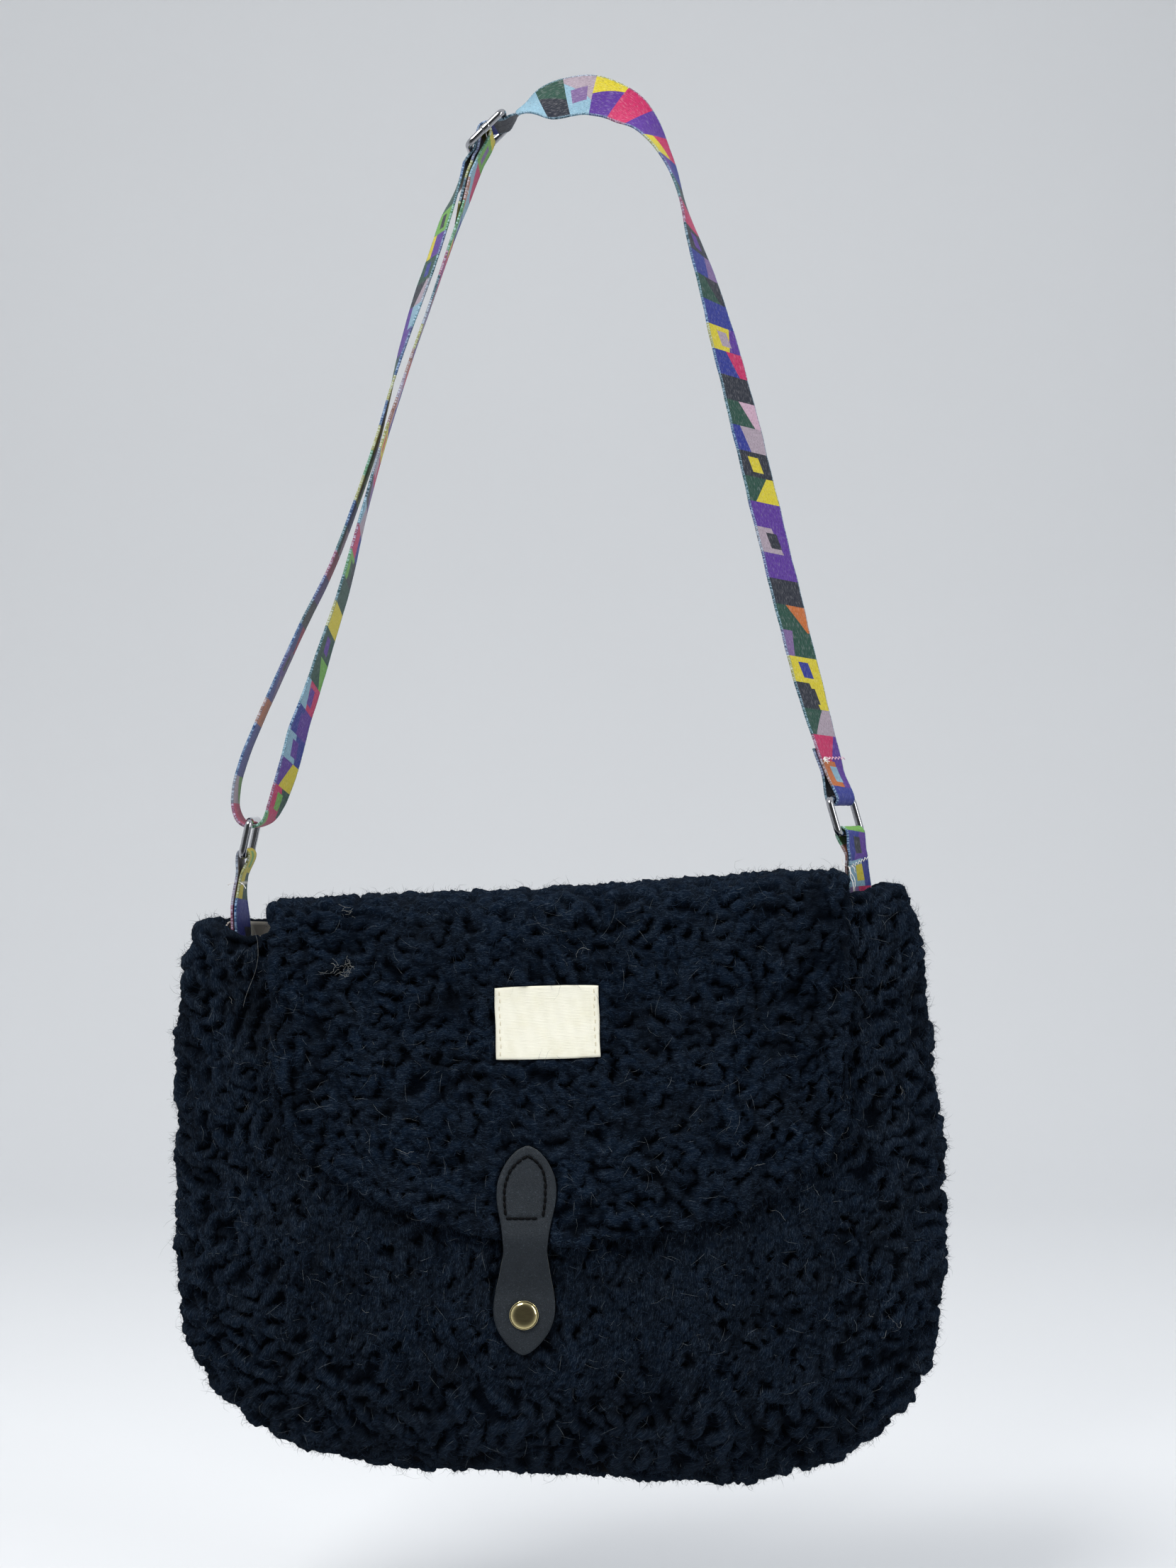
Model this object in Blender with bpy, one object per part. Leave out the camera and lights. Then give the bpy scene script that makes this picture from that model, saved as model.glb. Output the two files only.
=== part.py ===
"""Flap bag of black curly wool cloth on an adjustable printed webbing strap, in the shape in which it hangs.

Metres, +Z up, the bag's front towards -Y, +X to the viewer's right. The origin lies on the inner face of the
strap's crown, from which it hangs. Sizes below are in millimetres unless a name says otherwise.
"""

import math

import bmesh
import bpy
import numpy as np

for thing in list(bpy.data.objects):
    bpy.data.objects.remove(thing, do_unlink=True)

MM = 0.001
GAP = 0.3  # between pieces that meet

# ---------------------------------------------------------------- materials


def material(name, colour, rough, metal=0.0):
    m = bpy.data.materials.new(name)
    m.use_nodes = True
    m.diffuse_color = (*colour, 1)
    b = m.node_tree.nodes["Principled BSDF"]
    b.inputs["Base Color"].default_value = (*colour, 1)
    b.inputs["Roughness"].default_value = rough
    b.inputs["Metallic"].default_value = metal
    return m


def put(name, points, faces, mat):
    """One closed object from points in millimetres."""
    mesh = bpy.data.meshes.new(name)
    mesh.from_pydata([tuple(float(v) * MM for v in p) for p in points], [], faces)
    ob = bpy.data.objects.new(name, mesh)
    bpy.context.scene.collection.objects.link(ob)
    b = bmesh.new()
    b.from_mesh(mesh)
    bmesh.ops.remove_doubles(b, verts=b.verts, dist=1e-7)
    bmesh.ops.recalc_face_normals(b, faces=b.faces)
    b.to_mesh(mesh)
    b.free()
    mesh.materials.append(mat)
    return ob


def unit(v):
    v = np.asarray(v, float)
    return v / np.linalg.norm(v)


def eased(rows, key, column):
    """A smooth function of `key` through one column of a table of rows."""
    x = np.array([r[key] for r in rows], float)
    y = np.array([r[column] for r in rows], float)
    slope = np.gradient(y, x)
    step = np.diff(y) / np.diff(x)
    for i in range(1, len(x) - 1):
        if step[i - 1] * step[i] <= 0:
            slope[i] = 0.0

    def value(at):
        i = int(np.clip(np.searchsorted(x, at) - 1, 0, len(x) - 2))
        h = x[i + 1] - x[i]
        s = (at - x[i]) / h
        a, b = 2 * s**3 - 3 * s**2 + 1, s**3 - 2 * s**2 + s
        c, d = -2 * s**3 + 3 * s**2, s**3 - s**2
        return a * y[i] + b * h * slope[i] + c * y[i + 1] + d * h * slope[i + 1]

    return value


# ---------------------------------------------------------------- the pouch

MIDDLE = -68.0  # the plane half way through the bag's depth
WALL = 8.0  # cloth with its curly pile
LINING = 1.2

# down: share of the way from the rim to the bottom; left, right: the sides; front, back: half depths;
# square: how square the section is (2 is an ellipse)
SECTIONS = [
    dict(down=0.00, left=-193, right=158, front=27, back=27, square=9.0),
    dict(down=0.05, left=-200, right=163, front=28, back=27, square=7.5),
    dict(down=0.15, left=-206, right=168, front=29, back=28, square=5.5),
    dict(down=0.30, left=-207, right=173, front=32, back=29, square=4.2),
    dict(down=0.47, left=-207, right=179, front=35, back=31, square=3.7),
    dict(down=0.62, left=-207, right=179, front=39, back=33, square=3.4),
    dict(down=0.74, left=-205, right=175, front=40, back=33, square=3.2),
    dict(down=0.84, left=-194, right=164, front=37, back=31, square=3.2),
    dict(down=0.92, left=-174, right=143, front=31, back=27, square=3.2),
    dict(down=0.97, left=-147, right=115, front=23, back=21, square=3.2),
    dict(down=1.00, left=-112, right=84, front=12, back=12, square=3.2),
]
SECTION = {
    k: eased(SECTIONS, "down", k)
    for k in ("left", "right", "front", "back", "square")
}
RIM_LEFT, RIM_RIGHT, RIM_SAG = -440.0, -422.0, 10.0  # the rim sags between its ends
BOTTOM_LEFT, BOTTOM_RIGHT = -713.0, -722.0
DIP, DIP_AT, DIP_WIDE = 6.0, -170.0, 15.0  # the front rim droops by the left tab


def rim(x):
    u = (x - SECTIONS[0]["left"]) / (SECTIONS[0]["right"] - SECTIONS[0]["left"])
    u = min(1.0, max(0.0, u))
    return RIM_LEFT + (RIM_RIGHT - RIM_LEFT) * u - RIM_SAG * math.sin(math.pi * u)


def floor(x):
    u = (x + 112.0) / 196.0
    return BOTTOM_LEFT + (BOTTOM_RIGHT - BOTTOM_LEFT) * u


def height(x, y, down):
    """Z at a share of the way down, at (x, y)."""
    front = min(1.0, max(0.0, (MIDDLE - y) / 12.0))
    droop = DIP * front * math.exp(-(((x - DIP_AT) / DIP_WIDE) ** 2))
    return rim(x) * (1 - down) + floor(x) * down - droop * max(0.0, 1 - down / 0.2)


def half_loop(a, b, square, count):
    """Points (x, depth) of half a superellipse from +a to -a, evenly spread but closer round the corners."""
    t = np.linspace(0, math.pi, 1501)
    x = a * np.sign(np.cos(t)) * np.abs(np.cos(t)) ** (2 / square)
    y = b * np.abs(np.sin(t)) ** (2 / square)
    run = np.hypot(np.diff(x), np.diff(y))
    way = np.unwrap(np.arctan2(np.diff(y), np.diff(x)))
    turn = np.abs(np.diff(way, prepend=way[0]))
    along = np.concatenate([[0], np.cumsum(run / (2 * a) + turn / math.pi * 0.9)])
    at = np.interp(np.linspace(0, along[-1], count), along, t)
    return (
        a * np.sign(np.cos(at)) * np.abs(np.cos(at)) ** (2 / square),
        b * np.abs(np.sin(at)) ** (2 / square),
    )


HALF = 21  # points on half a loop


def loop(down, inset, z_share=None):
    """A closed loop of the pouch's section, `inset` inside its outer face: front half from right to left, then the back half."""
    left, right = SECTION["left"](down) + inset, SECTION["right"](down) - inset
    a, middle = (right - left) / 2, (right + left) / 2
    points = []
    for side, name in ((-1, "front"), (1, "back")):
        x, y = half_loop(a, SECTION[name](down) - inset, SECTION["square"](down), HALF)
        half = [(middle + i, MIDDLE + side * j) for i, j in zip(x, y)]
        points += half if side < 0 else half[::-1][1:-1]
    share = down if z_share is None else z_share
    return [(x, y, height(x, y, share)) for x, y in points]


def band(loops):
    """Faces between neighbouring loops of equal length."""
    n, faces = len(loops[0]), []
    for r in range(len(loops) - 1):
        for i in range(n):
            j = (i + 1) % n
            faces.append((r * n + i, r * n + j, (r + 1) * n + j, (r + 1) * n + i))
    return faces


def zipped(start, n):
    """Faces that close a loop of n points by joining its front half to its back half."""
    faces, half = [], n // 2
    for i in range(half):
        a, b = start + i, start + i + 1
        c, d = start + (n - i - 1) % n, start + (n - i) % n
        face = [a, b, c, d]
        if i == 0:
            face = [a, b, c]
        if i == half - 1:
            face = [a, b, d]
        faces.append(tuple(face))
    return faces


OUT_ROWS = [0, 0.03, 0.06, 0.10, 0.16, 0.24, 0.33, 0.42, 0.51, 0.60, 0.69, 0.77, 0.84, 0.90, 0.94, 0.97, 0.99, 1.0]
IN_ROWS = [0, 0.03, 0.06, 0.10, 0.24, 0.42, 0.60, 0.77, 0.88, 0.94, 0.965]


def pouch(mat):
    outer = [loop(d, 0) for d in OUT_ROWS]
    inner = [loop(d, WALL) for d in IN_ROWS]
    n = len(outer[0])
    loops = outer[::-1] + inner
    points = [p for one in loops for p in one]
    faces = band(loops) + zipped(0, n) + zipped((len(loops) - 1) * n, n)
    return put("bag_body", points, faces, mat)


def mouth_lining(mat):
    rows = IN_ROWS[:4]
    outer = [loop(d, WALL + GAP) for d in rows]
    inner = [loop(d, WALL + GAP + LINING) for d in rows]
    loops = outer[::-1] + inner
    loops.append(loops[0])
    n = len(outer[0])
    points = [p for one in loops[:-1] for p in one]
    faces = []
    for face in band(loops):
        faces.append(tuple(k % (n * (len(loops) - 1)) for k in face))
    return put("lining", points, faces, mat)


# ---------------------------------------------------------------- the flap

FLAP_THICK = 7.4
FLAP_LEFT, FLAP_RIGHT = -156.0, 126.0
FLAP_OFF = 2.0  # how far the flap hangs off the front wall
FLAP_RISE, FLAP_RISE_ENDS = 15.5, 10.5  # over the rim, middle and ends
FLAP_LEAD = 2.0  # it stands straight up off the back rim for this much
SHIELD_SIDE, SHIELD_DEEP, SHIELD_LEAN = -525.0, 68.0, 4.0
FLAP_COLUMNS, ARCH_ROWS, FRONT_ROWS = 23, 11, 12


def share_down(x, z):
    return (z - rim(x)) / (floor(x) - rim(x))


def body_front(x, z):
    """Y of the front wall's outer face at (x, z)."""
    d = min(0.999, max(0.0, share_down(x, z)))
    left, right = SECTION["left"](d), SECTION["right"](d)
    reach = abs((x - (left + right) / 2) / ((right - left) / 2))
    n = SECTION["square"](d)
    return MIDDLE - SECTION["front"](d) * max(0.0, 1 - reach**n) ** (1 / n)


def flap_middle(x, z):
    """Y of the flap's mid surface where it hangs down the front."""
    return body_front(x, z) - FLAP_OFF - FLAP_THICK / 2


def shield_end(x):
    """Z of the flap's lower edge at x."""
    u = (x - (FLAP_LEFT + FLAP_RIGHT) / 2) / ((FLAP_RIGHT - FLAP_LEFT) / 2)
    deep = SHIELD_DEEP * max(0.0, 1 - abs(u) ** 1.75) ** (1 / 1.75)
    return SHIELD_SIDE - deep - SHIELD_LEAN * u


def solid_sheet(name, grid, thick, mat):
    """A closed sheet of even thickness about a grid of mid-surface points."""
    g = np.array(grid, float)
    du, dv = np.gradient(g, axis=0), np.gradient(g, axis=1)
    normal = np.cross(du, dv)
    normal /= np.linalg.norm(normal, axis=2, keepdims=True)
    rows, cols = g.shape[:2]
    points = np.concatenate(
        [(g + normal * thick / 2).reshape(-1, 3), (g - normal * thick / 2).reshape(-1, 3)]
    )
    size, faces = rows * cols, []
    for i in range(rows - 1):
        for j in range(cols - 1):
            a, b, c, d = i * cols + j, i * cols + j + 1, (i + 1) * cols + j + 1, (i + 1) * cols + j
            faces += [(a, b, c, d), (size + a, size + d, size + c, size + b)]
    edge = (
        [(i, 0) for i in range(rows)]
        + [(rows - 1, j) for j in range(1, cols)]
        + [(i, cols - 1) for i in range(rows - 2, -1, -1)]
        + [(0, j) for j in range(cols - 2, 0, -1)]
    )
    edge = [i * cols + j for i, j in edge]
    for a, b in zip(edge, edge[1:] + edge[:1]):
        faces.append((a, b, size + b, size + a))
    return put(name, points, faces, mat)


def flap_columns():
    """Mid-surface points of the flap, a column at a time: up from the back rim, over the mouth and down the front."""
    columns = []
    for i in range(FLAP_COLUMNS):
        s = -1 + 2 * i / (FLAP_COLUMNS - 1)
        u = math.sin(s * math.pi / 2) * 0.35 + s * 0.65  # closer columns near the two sides
        x = (FLAP_LEFT + FLAP_RIGHT) / 2 + u * (FLAP_RIGHT - FLAP_LEFT) / 2
        top = rim(x)
        rise = FLAP_RISE + (FLAP_RISE_ENDS - FLAP_RISE) * abs(u) ** 3 - FLAP_THICK / 2 - FLAP_LEAD
        back = MIDDLE + SECTION["back"](0.0) - WALL / 2
        front = flap_middle(x, top)
        middle, half = (back + front) / 2, (back - front) / 2
        column = [(x, back, top + GAP + 0.1)]
        for k in range(ARCH_ROWS):
            a = math.pi * k / ARCH_ROWS
            y = middle + half * math.copysign(abs(math.cos(a)) ** (2 / 3.2), math.cos(a))
            z = top + FLAP_LEAD * (1 if y > middle else math.sin(a) ** 0.6) + rise * math.sin(a) ** (2 / 3.2)
            column.append((x, y, z))
        end = shield_end(x)
        for k in range(FRONT_ROWS + 1):
            z = top + (end - top) * k / FRONT_ROWS
            column.append((x, flap_middle(x, z), z))
        columns.append(column)
    return columns


# ---------------------------------------------------------------- label, closure tab, snap

LABEL_X, LABEL_Z, LABEL_WIDE, LABEL_HIGH, LABEL_THICK = -20.7, -488.0, 51.5, 35.5, 0.9
LABEL_TILT = math.radians(1.6)

TAB_TOP_X, TAB_TOP_Z, TAB_BOTTOM_X = -30.4, -548.5, -32.6
TAB_THICK = 2.2
# down: from the top tip; half: half width there
TAB_SHAPE = [
    dict(down=0.0, half=0.8),
    dict(down=1.6, half=4.2),
    dict(down=3.4, half=6.4),
    dict(down=7.0, half=9.6),
    dict(down=10.5, half=11.7),
    dict(down=14.0, half=13.3),
    dict(down=18.0, half=14.4),
    dict(down=24.0, half=14.7),
    dict(down=30.0, half=14.0),
    dict(down=36.0, half=12.7),
    dict(down=43.0, half=11.5),
    dict(down=52.0, half=10.8),
    dict(down=59.0, half=11.8),
    dict(down=66.0, half=13.0),
    dict(down=73.0, half=14.5),
    dict(down=80.5, half=15.3),
    dict(down=84.0, half=15.1),
    dict(down=88.0, half=14.2),
    dict(down=92.0, half=12.5),
    dict(down=95.0, half=10.6),
    dict(down=98.3, half=8.0),
    dict(down=101.1, half=5.0),
    dict(down=102.9, half=2.2),
    dict(down=103.5, half=0.8),
]
TAB_HALF = eased(TAB_SHAPE, "down", "half")
TAB_LONG = 103.5
SNAP_DOWN, SNAP_R, SNAP_HIGH = 83.7, 7.2, 2.9


def flap_face(x, z):
    """Y of the flap's outer face on the front."""
    return flap_middle(x, z) - FLAP_THICK / 2


def tab_mid(down):
    """Centre of the closure tab's thickness, on its long axis, at a distance down from its top tip."""
    s = down / TAB_LONG
    x, z = TAB_TOP_X + (TAB_BOTTOM_X - TAB_TOP_X) * s, TAB_TOP_Z - down
    edge = shield_end(x)
    on_flap = flap_face(x, max(z, edge)) - GAP - 0.6 - TAB_THICK / 2
    on_body = body_front(x, z) - GAP - 0.6 - TAB_THICK / 2
    blend = min(1.0, max(0.0, (edge - 1.5 - z) / 30.0))
    blend = blend * blend * (3 - 2 * blend)
    return x, min(on_body, on_flap * (1 - blend) + on_body * blend), z


def closure_tab(mat):
    grid = []
    steps = 30
    for i in range(steps + 1):
        down = TAB_LONG * (1 - math.cos(math.pi * i / steps)) / 2
        x, y, z = tab_mid(down)
        half = TAB_HALF(down)
        grid.append([(x + half * k, y, z) for k in (-1, -0.5, 0, 0.5, 1)])
    return solid_sheet("closure_tab", grid, TAB_THICK, mat)


def label(mat):
    grid = []
    for i in range(5):
        row = []
        for j in range(7):
            a, b = (j / 6 - 0.5) * LABEL_WIDE, (0.5 - i / 4) * LABEL_HIGH
            x = LABEL_X + a * math.cos(LABEL_TILT) - b * math.sin(LABEL_TILT)
            z = LABEL_Z + a * math.sin(LABEL_TILT) + b * math.cos(LABEL_TILT)
            bow = 0.5 * math.cos(math.pi * a / LABEL_WIDE)
            row.append((x, flap_face(x, z) - GAP - 0.3 - bow - LABEL_THICK / 2, z))
        grid.append(row)
    return solid_sheet("label", grid, LABEL_THICK, mat)


def snap(mat):
    x, y, z = tab_mid(SNAP_DOWN)
    nearby = tab_mid(SNAP_DOWN + 6)[1] - tab_mid(SNAP_DOWN - 6)[1]
    lean = math.atan2(nearby, 12.0)  # the tab's slope there
    out = np.array([0.0, -math.cos(lean), -math.sin(lean)])
    up = np.cross((1.0, 0, 0), out)
    centre = np.array([x, y, z]) + out * (TAB_THICK / 2 + GAP)
    profile = [(0.86, 0.0), (1.0, 0.25), (1.0, 0.45), (0.9, 0.68), (0.66, 0.87), (0.34, 0.97)]
    ways, points, faces = 28, [], []
    for r, h in profile:
        for k in range(ways):
            a = 2 * math.pi * k / ways
            side = np.array([math.cos(a), 0, 0]) + up * math.sin(a)
            points.append(centre + side * r * SNAP_R + out * h * SNAP_HIGH)
    for i in range(len(profile) - 1):
        for k in range(ways):
            j = (k + 1) % ways
            faces.append((i * ways + k, i * ways + j, (i + 1) * ways + j, (i + 1) * ways + k))
    faces.append(tuple(range(ways)))
    points.append(centre + out * SNAP_HIGH)
    last = (len(profile) - 1) * ways
    for k in range(ways):
        faces.append((last + k, last + (k + 1) % ways, len(points) - 1))
    return put("snap_cap", points, faces, mat)


# ---------------------------------------------------------------- rings and slider

WEB_WIDE, WEB_THICK = 25.0, 1.4
WIRE = 3.8  # thickness of the wire
RING_WIDE, RING_HIGH, RING_CORNER = 30.0, 18.0, 3.0  # between wire centres
SLIDER_WIDE, SLIDER_HIGH, BAR = 30.0, 25.0, 3.0

BAR_TURN = WIRE / 2 + GAP + WEB_THICK / 2  # radius at which webbing turns round a ring's bar


class Frame:
    """A flat frame of wire: `across` runs along its bars, `up` in its plane, `out` away from its plane."""

    def __init__(self, centre, across, up, side=1):
        self.centre = np.array(centre, float)
        self.across = unit(across)
        up = np.array(up, float)
        self.up = unit(up - self.across * (up @ self.across))
        self.out = side * np.cross(self.across, self.up)

    def at(self, out, up, across=0.0):
        return self.centre + self.out * out + self.up * up + self.across * across


RIGHT = Frame((130.7, MIDDLE, -386.3), (0.48, 0.877, 0.0), (-0.33, 0.0, 0.94))
LEFT = Frame((-173.1, MIDDLE, -397.5), (0.02, 1.0, 0.0), (0.21, 0.0, 0.98))
SLIDER = Frame((-54.3, -4.0, -22.9), (0.05, 1.0, -0.05), (0.71, 0.0, 0.70), side=-1)


def wire_loop(frame, wide, high, corner, sides=10, turns=4):
    """Points and faces of a closed rounded rectangle of round wire."""
    path = []
    for sx, sy, start in ((1, 1, 0), (-1, 1, 90), (-1, -1, 180), (1, -1, 270)):
        cx, cy = sx * (wide / 2 - corner), sy * (high / 2 - corner)
        for k in range(turns + 1):
            a = math.radians(start + 90 * k / turns)
            path.append((cx + corner * math.cos(a), cy + corner * math.sin(a)))
    n, points, faces = len(path), [], []
    for i, (cx, cy) in enumerate(path):
        before, after = np.array(path[i - 1]), np.array(path[(i + 1) % n])
        tangent = unit(after - before)
        side = np.array([tangent[1], -tangent[0]])
        for k in range(sides):
            a = 2 * math.pi * (k + 0.5) / sides
            r = WIRE / 2
            px, py = cx + side[0] * r * math.cos(a), cy + side[1] * r * math.cos(a)
            points.append(frame.at(r * math.sin(a), py, px))
    for i in range(n):
        for k in range(sides):
            a, b = i * sides + k, i * sides + (k + 1) % sides
            j = (i + 1) % n
            faces.append((a, b, j * sides + (k + 1) % sides, j * sides + k))
    return points, faces


def ring(name, frame, mat):
    return put(name, *wire_loop(frame, RING_WIDE, RING_HIGH, RING_CORNER), mat)


def slider(mat):
    body = put("slider", *wire_loop(SLIDER, SLIDER_WIDE, SLIDER_HIGH, RING_CORNER), mat)
    sides, points, faces = 12, [], []
    for end in (-1, 1):
        for k in range(sides):
            a = 2 * math.pi * k / sides
            points.append(
                SLIDER.at(BAR / 2 * math.sin(a), BAR / 2 * math.cos(a), end * SLIDER_WIDE / 2)
            )
    for k in range(sides):
        j = (k + 1) % sides
        faces.append((k, j, sides + j, sides + k))
    faces += [tuple(range(sides)), tuple(range(sides, 2 * sides))]
    bar = put("slider_bar_cutter", points, faces, mat)
    bar.hide_render = True
    bar.display_type = "WIRE"
    join = body.modifiers.new("centre bar", "BOOLEAN")
    join.operation = "UNION"
    join.solver = "EXACT"
    join.object = bar
    return body


# ---------------------------------------------------------------- webbing


def ribbon(name, stations, mat):
    """A closed flat band through stations of (centre, width direction, half width)."""
    at = np.array([s[0] for s in stations])
    tangent = np.zeros_like(at)
    tangent[1:-1] = at[2:] - at[:-2]
    tangent[0], tangent[-1] = at[1] - at[0], at[-1] - at[-2]
    points = []
    for p, t, (_, wide, half) in zip(at, tangent, stations):
        t = unit(t)
        wide = unit(np.array(wide) - t * (np.array(wide) @ t))
        face = np.cross(t, wide) * WEB_THICK / 2
        points += [p + wide * half + face, p - wide * half + face, p - wide * half - face, p + wide * half - face]
    faces = [(0, 1, 2, 3)]
    for i in range(len(stations) - 1):
        for k in (1, 3):
            a, b = 4 * i + k, 4 * i + (k + 1) % 4
            faces.append((a, b, b + 4, a + 4))
        a = 4 * i  # both broad faces are split the same way, so that a twist keeps its thickness
        faces += [(a, a + 1, a + 5), (a, a + 5, a + 4)]
        faces += [(a + 2, a + 3, a + 6), (a + 3, a + 7, a + 6)]
    last = 4 * (len(stations) - 1)
    faces.append((last + 3, last + 2, last + 1, last))
    return put(name, points, faces, mat)


def facing(lean_x, lean_z):
    """Width direction whose far edge leans right by lean_x and up by lean_z."""
    return np.array([lean_x, math.sqrt(max(0.0, 1 - lean_x**2 - lean_z**2)), lean_z])


def through(rows, each):
    """Stations on a smooth curve through (centre, width direction, half width), `each` to a span."""
    value = np.array([[*c, *w, h] for c, w, h in rows], float)
    step = np.linalg.norm(np.diff(value[:, :3], axis=0), axis=1)
    key = np.concatenate([[0], np.cumsum(step)])
    slope = np.zeros_like(value)
    for i in range(len(key)):
        a, b = max(0, i - 1), min(len(key) - 1, i + 1)
        if 0 < i < len(key) - 1:
            before = (value[i] - value[a]) / (key[i] - key[a])
            after = (value[b] - value[i]) / (key[b] - key[i])
            share = (key[i] - key[a]) / (key[b] - key[a])
            slope[i] = before * (1 - share) + after * share
        else:
            slope[i] = (value[b] - value[a]) / (key[b] - key[a])
    out = []
    for i in range(len(key) - 1):
        h = key[i + 1] - key[i]
        twist = math.degrees(math.acos(min(1.0, float(unit(value[i, 3:6]) @ unit(value[i + 1, 3:6])))))
        count = max(1, min(each, round(h / 4.0)), round(twist / 7.0))
        for k in range(count):
            s = k / count
            a, b = 2 * s**3 - 3 * s**2 + 1, s**3 - 2 * s**2 + s
            c, d = -2 * s**3 + 3 * s**2, s**3 - s**2
            v = a * value[i] + b * h * slope[i] + c * value[i + 1] + d * h * slope[i + 1]
            out.append((v[:3], unit(v[3:6]), v[6]))
    out.append((value[-1, :3], unit(value[-1, 3:6]), value[-1, 6]))
    return out


W = WEB_WIDE / 2
BUNCHED = 11.4  # half width where it turns round a bar
LAID = (WEB_THICK + 0.5) / 2  # half the distance between two sewn layers

# x, y, z: the band's middle; lean_x, lean_z: how far its far edge leans right and up
RIGHT_RUN = [
    dict(x=116.5, y=-60, z=-332, lean_x=0.60, lean_z=0.05),
    dict(x=110.0, y=-55, z=-306, lean_x=0.64, lean_z=0.05),
    dict(x=101.5, y=-48, z=-269, lean_x=0.66, lean_z=0.05),
    dict(x=92.0, y=-40, z=-227, lean_x=0.67, lean_z=0.05),
    dict(x=79.5, y=-30, z=-171, lean_x=0.65, lean_z=0.05),
    dict(x=71.0, y=-24, z=-136, lean_x=0.60, lean_z=0.05),
    dict(x=62.0, y=-18, z=-101, lean_x=0.45, lean_z=0.08),
    dict(x=56.0, y=-14, z=-81, lean_x=0.32, lean_z=0.10),
    dict(x=49.5, y=-10, z=-58, lean_x=0.14, lean_z=0.06),
    dict(x=42.0, y=-6, z=-36, lean_x=0.27, lean_z=0.15),
    dict(x=36.0, y=-4, z=-24.5, lean_x=0.38, lean_z=0.28),
    dict(x=29.5, y=-2.6, z=-15, lean_x=0.48, lean_z=0.48),
    dict(x=21.0, y=-1.3, z=-7.5, lean_x=0.48, lean_z=0.73),
    dict(x=12.0, y=-0.6, z=-2.6, lean_x=0.28, lean_z=0.90),
]
LEFT_SHOULDER = [
    dict(x=-13.0, y=-0.8, z=-1.5, lean_x=-0.28, lean_z=0.88),
    dict(x=-24.0, y=-1.6, z=-5.6, lean_x=-0.36, lean_z=0.76),
    dict(x=-31.0, y=-2.6, z=-8.6, lean_x=-0.30, lean_z=0.45),
]
OUTER_RUN = [
    dict(x=-74.0, y=-10.6, z=-61, lean_x=-0.25, lean_z=0.0),
    dict(x=-82.0, y=-15, z=-87, lean_x=-0.32, lean_z=0.0),
    dict(x=-90.0, y=-20, z=-112, lean_x=-0.32, lean_z=0.0),
    dict(x=-97.8, y=-24.5, z=-138, lean_x=-0.22, lean_z=0.0),
    dict(x=-104.5, y=-29, z=-164, lean_x=-0.10, lean_z=0.0),
    dict(x=-111.0, y=-33.5, z=-190, lean_x=-0.04, lean_z=0.0),
    dict(x=-120.0, y=-39, z=-219, lean_x=-0.03, lean_z=0.0),
    dict(x=-136.0, y=-47, z=-263, lean_x=-0.02, lean_z=0.0),
    dict(x=-147.0, y=-51, z=-286, lean_x=0.0, lean_z=0.0),
    dict(x=-160.0, y=-57, z=-316, lean_x=0.0, lean_z=0.0),
    dict(x=-170.5, y=-61.5, z=-341, lean_x=0.0, lean_z=0.0),
    dict(x=-176.5, y=-64.5, z=-357, lean_x=0.0, lean_z=0.0),
    dict(x=-180.3, y=-66.8, z=-373, lean_x=0.0, lean_z=0.0),
    dict(x=-180.2, y=-68, z=-383, lean_x=0.0, lean_z=0.0),
    dict(x=-177.2, y=-68, z=-389.3, lean_x=0.02, lean_z=0.0),
]
INNER_RUN = [
    dict(x=-164.6, y=-68, z=-389.0, lean_x=0.10, lean_z=0.0),
    dict(x=-160.6, y=-67.5, z=-382, lean_x=0.20, lean_z=0.0),
    dict(x=-157.0, y=-66.5, z=-372, lean_x=0.28, lean_z=0.0),
    dict(x=-153.4, y=-64.8, z=-360, lean_x=0.29, lean_z=0.0),
    dict(x=-149.0, y=-61.7, z=-342, lean_x=0.27, lean_z=0.0),
    dict(x=-143.5, y=-58.4, z=-325, lean_x=0.22, lean_z=0.0),
    dict(x=-135.5, y=-53.4, z=-298, lean_x=0.15, lean_z=0.0),
    dict(x=-128.0, y=-48.9, z=-273, lean_x=0.10, lean_z=0.0),
    dict(x=-115.8, y=-39.3, z=-222, lean_x=-0.02, lean_z=0.0),
    dict(x=-108.0, y=-34, z=-192, lean_x=-0.04, lean_z=0.0),
    dict(x=-99.8, y=-29, z=-165, lean_x=-0.08, lean_z=0.0),
    dict(x=-92.0, y=-24.6, z=-140, lean_x=-0.10, lean_z=0.0),
    dict(x=-83.7, y=-20.4, z=-115, lean_x=-0.10, lean_z=0.0),
    dict(x=-75.8, y=-15.9, z=-90, lean_x=-0.08, lean_z=0.0),
    dict(x=-68.3, y=-11.6, z=-67, lean_x=-0.05, lean_z=0.0),
]


def run(table):
    return [((r["x"], r["y"], r["z"]), facing(r["lean_x"], r["lean_z"]), W) for r in table]


def turn(frame, up, radius, start, end, steps):
    """Stations round a bar that lies at `up` in a frame; angles in degrees, 0 towards `out`, 90 towards `up`."""
    out = []
    for k in range(steps + 1):
        a = math.radians(start + (end - start) * k / steps)
        out.append((frame.at(radius * math.cos(a), up + radius * math.sin(a)), frame.across, BUNCHED))
    return out


def ends_meet(frame, up, sign, side, reach, steps=4):
    """Stations from a bar's side to where two layers are sewn together, `reach` away along sign * up."""
    out = []
    for k in range(1, steps + 1):
        s = k / steps
        flare = BAR_TURN + (LAID - BAR_TURN) * (3 * s**2 - 2 * s**3)
        out.append((frame.at(side * flare, up + sign * reach * s), frame.across, BUNCHED + 0.6 * s))
    return out


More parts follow.
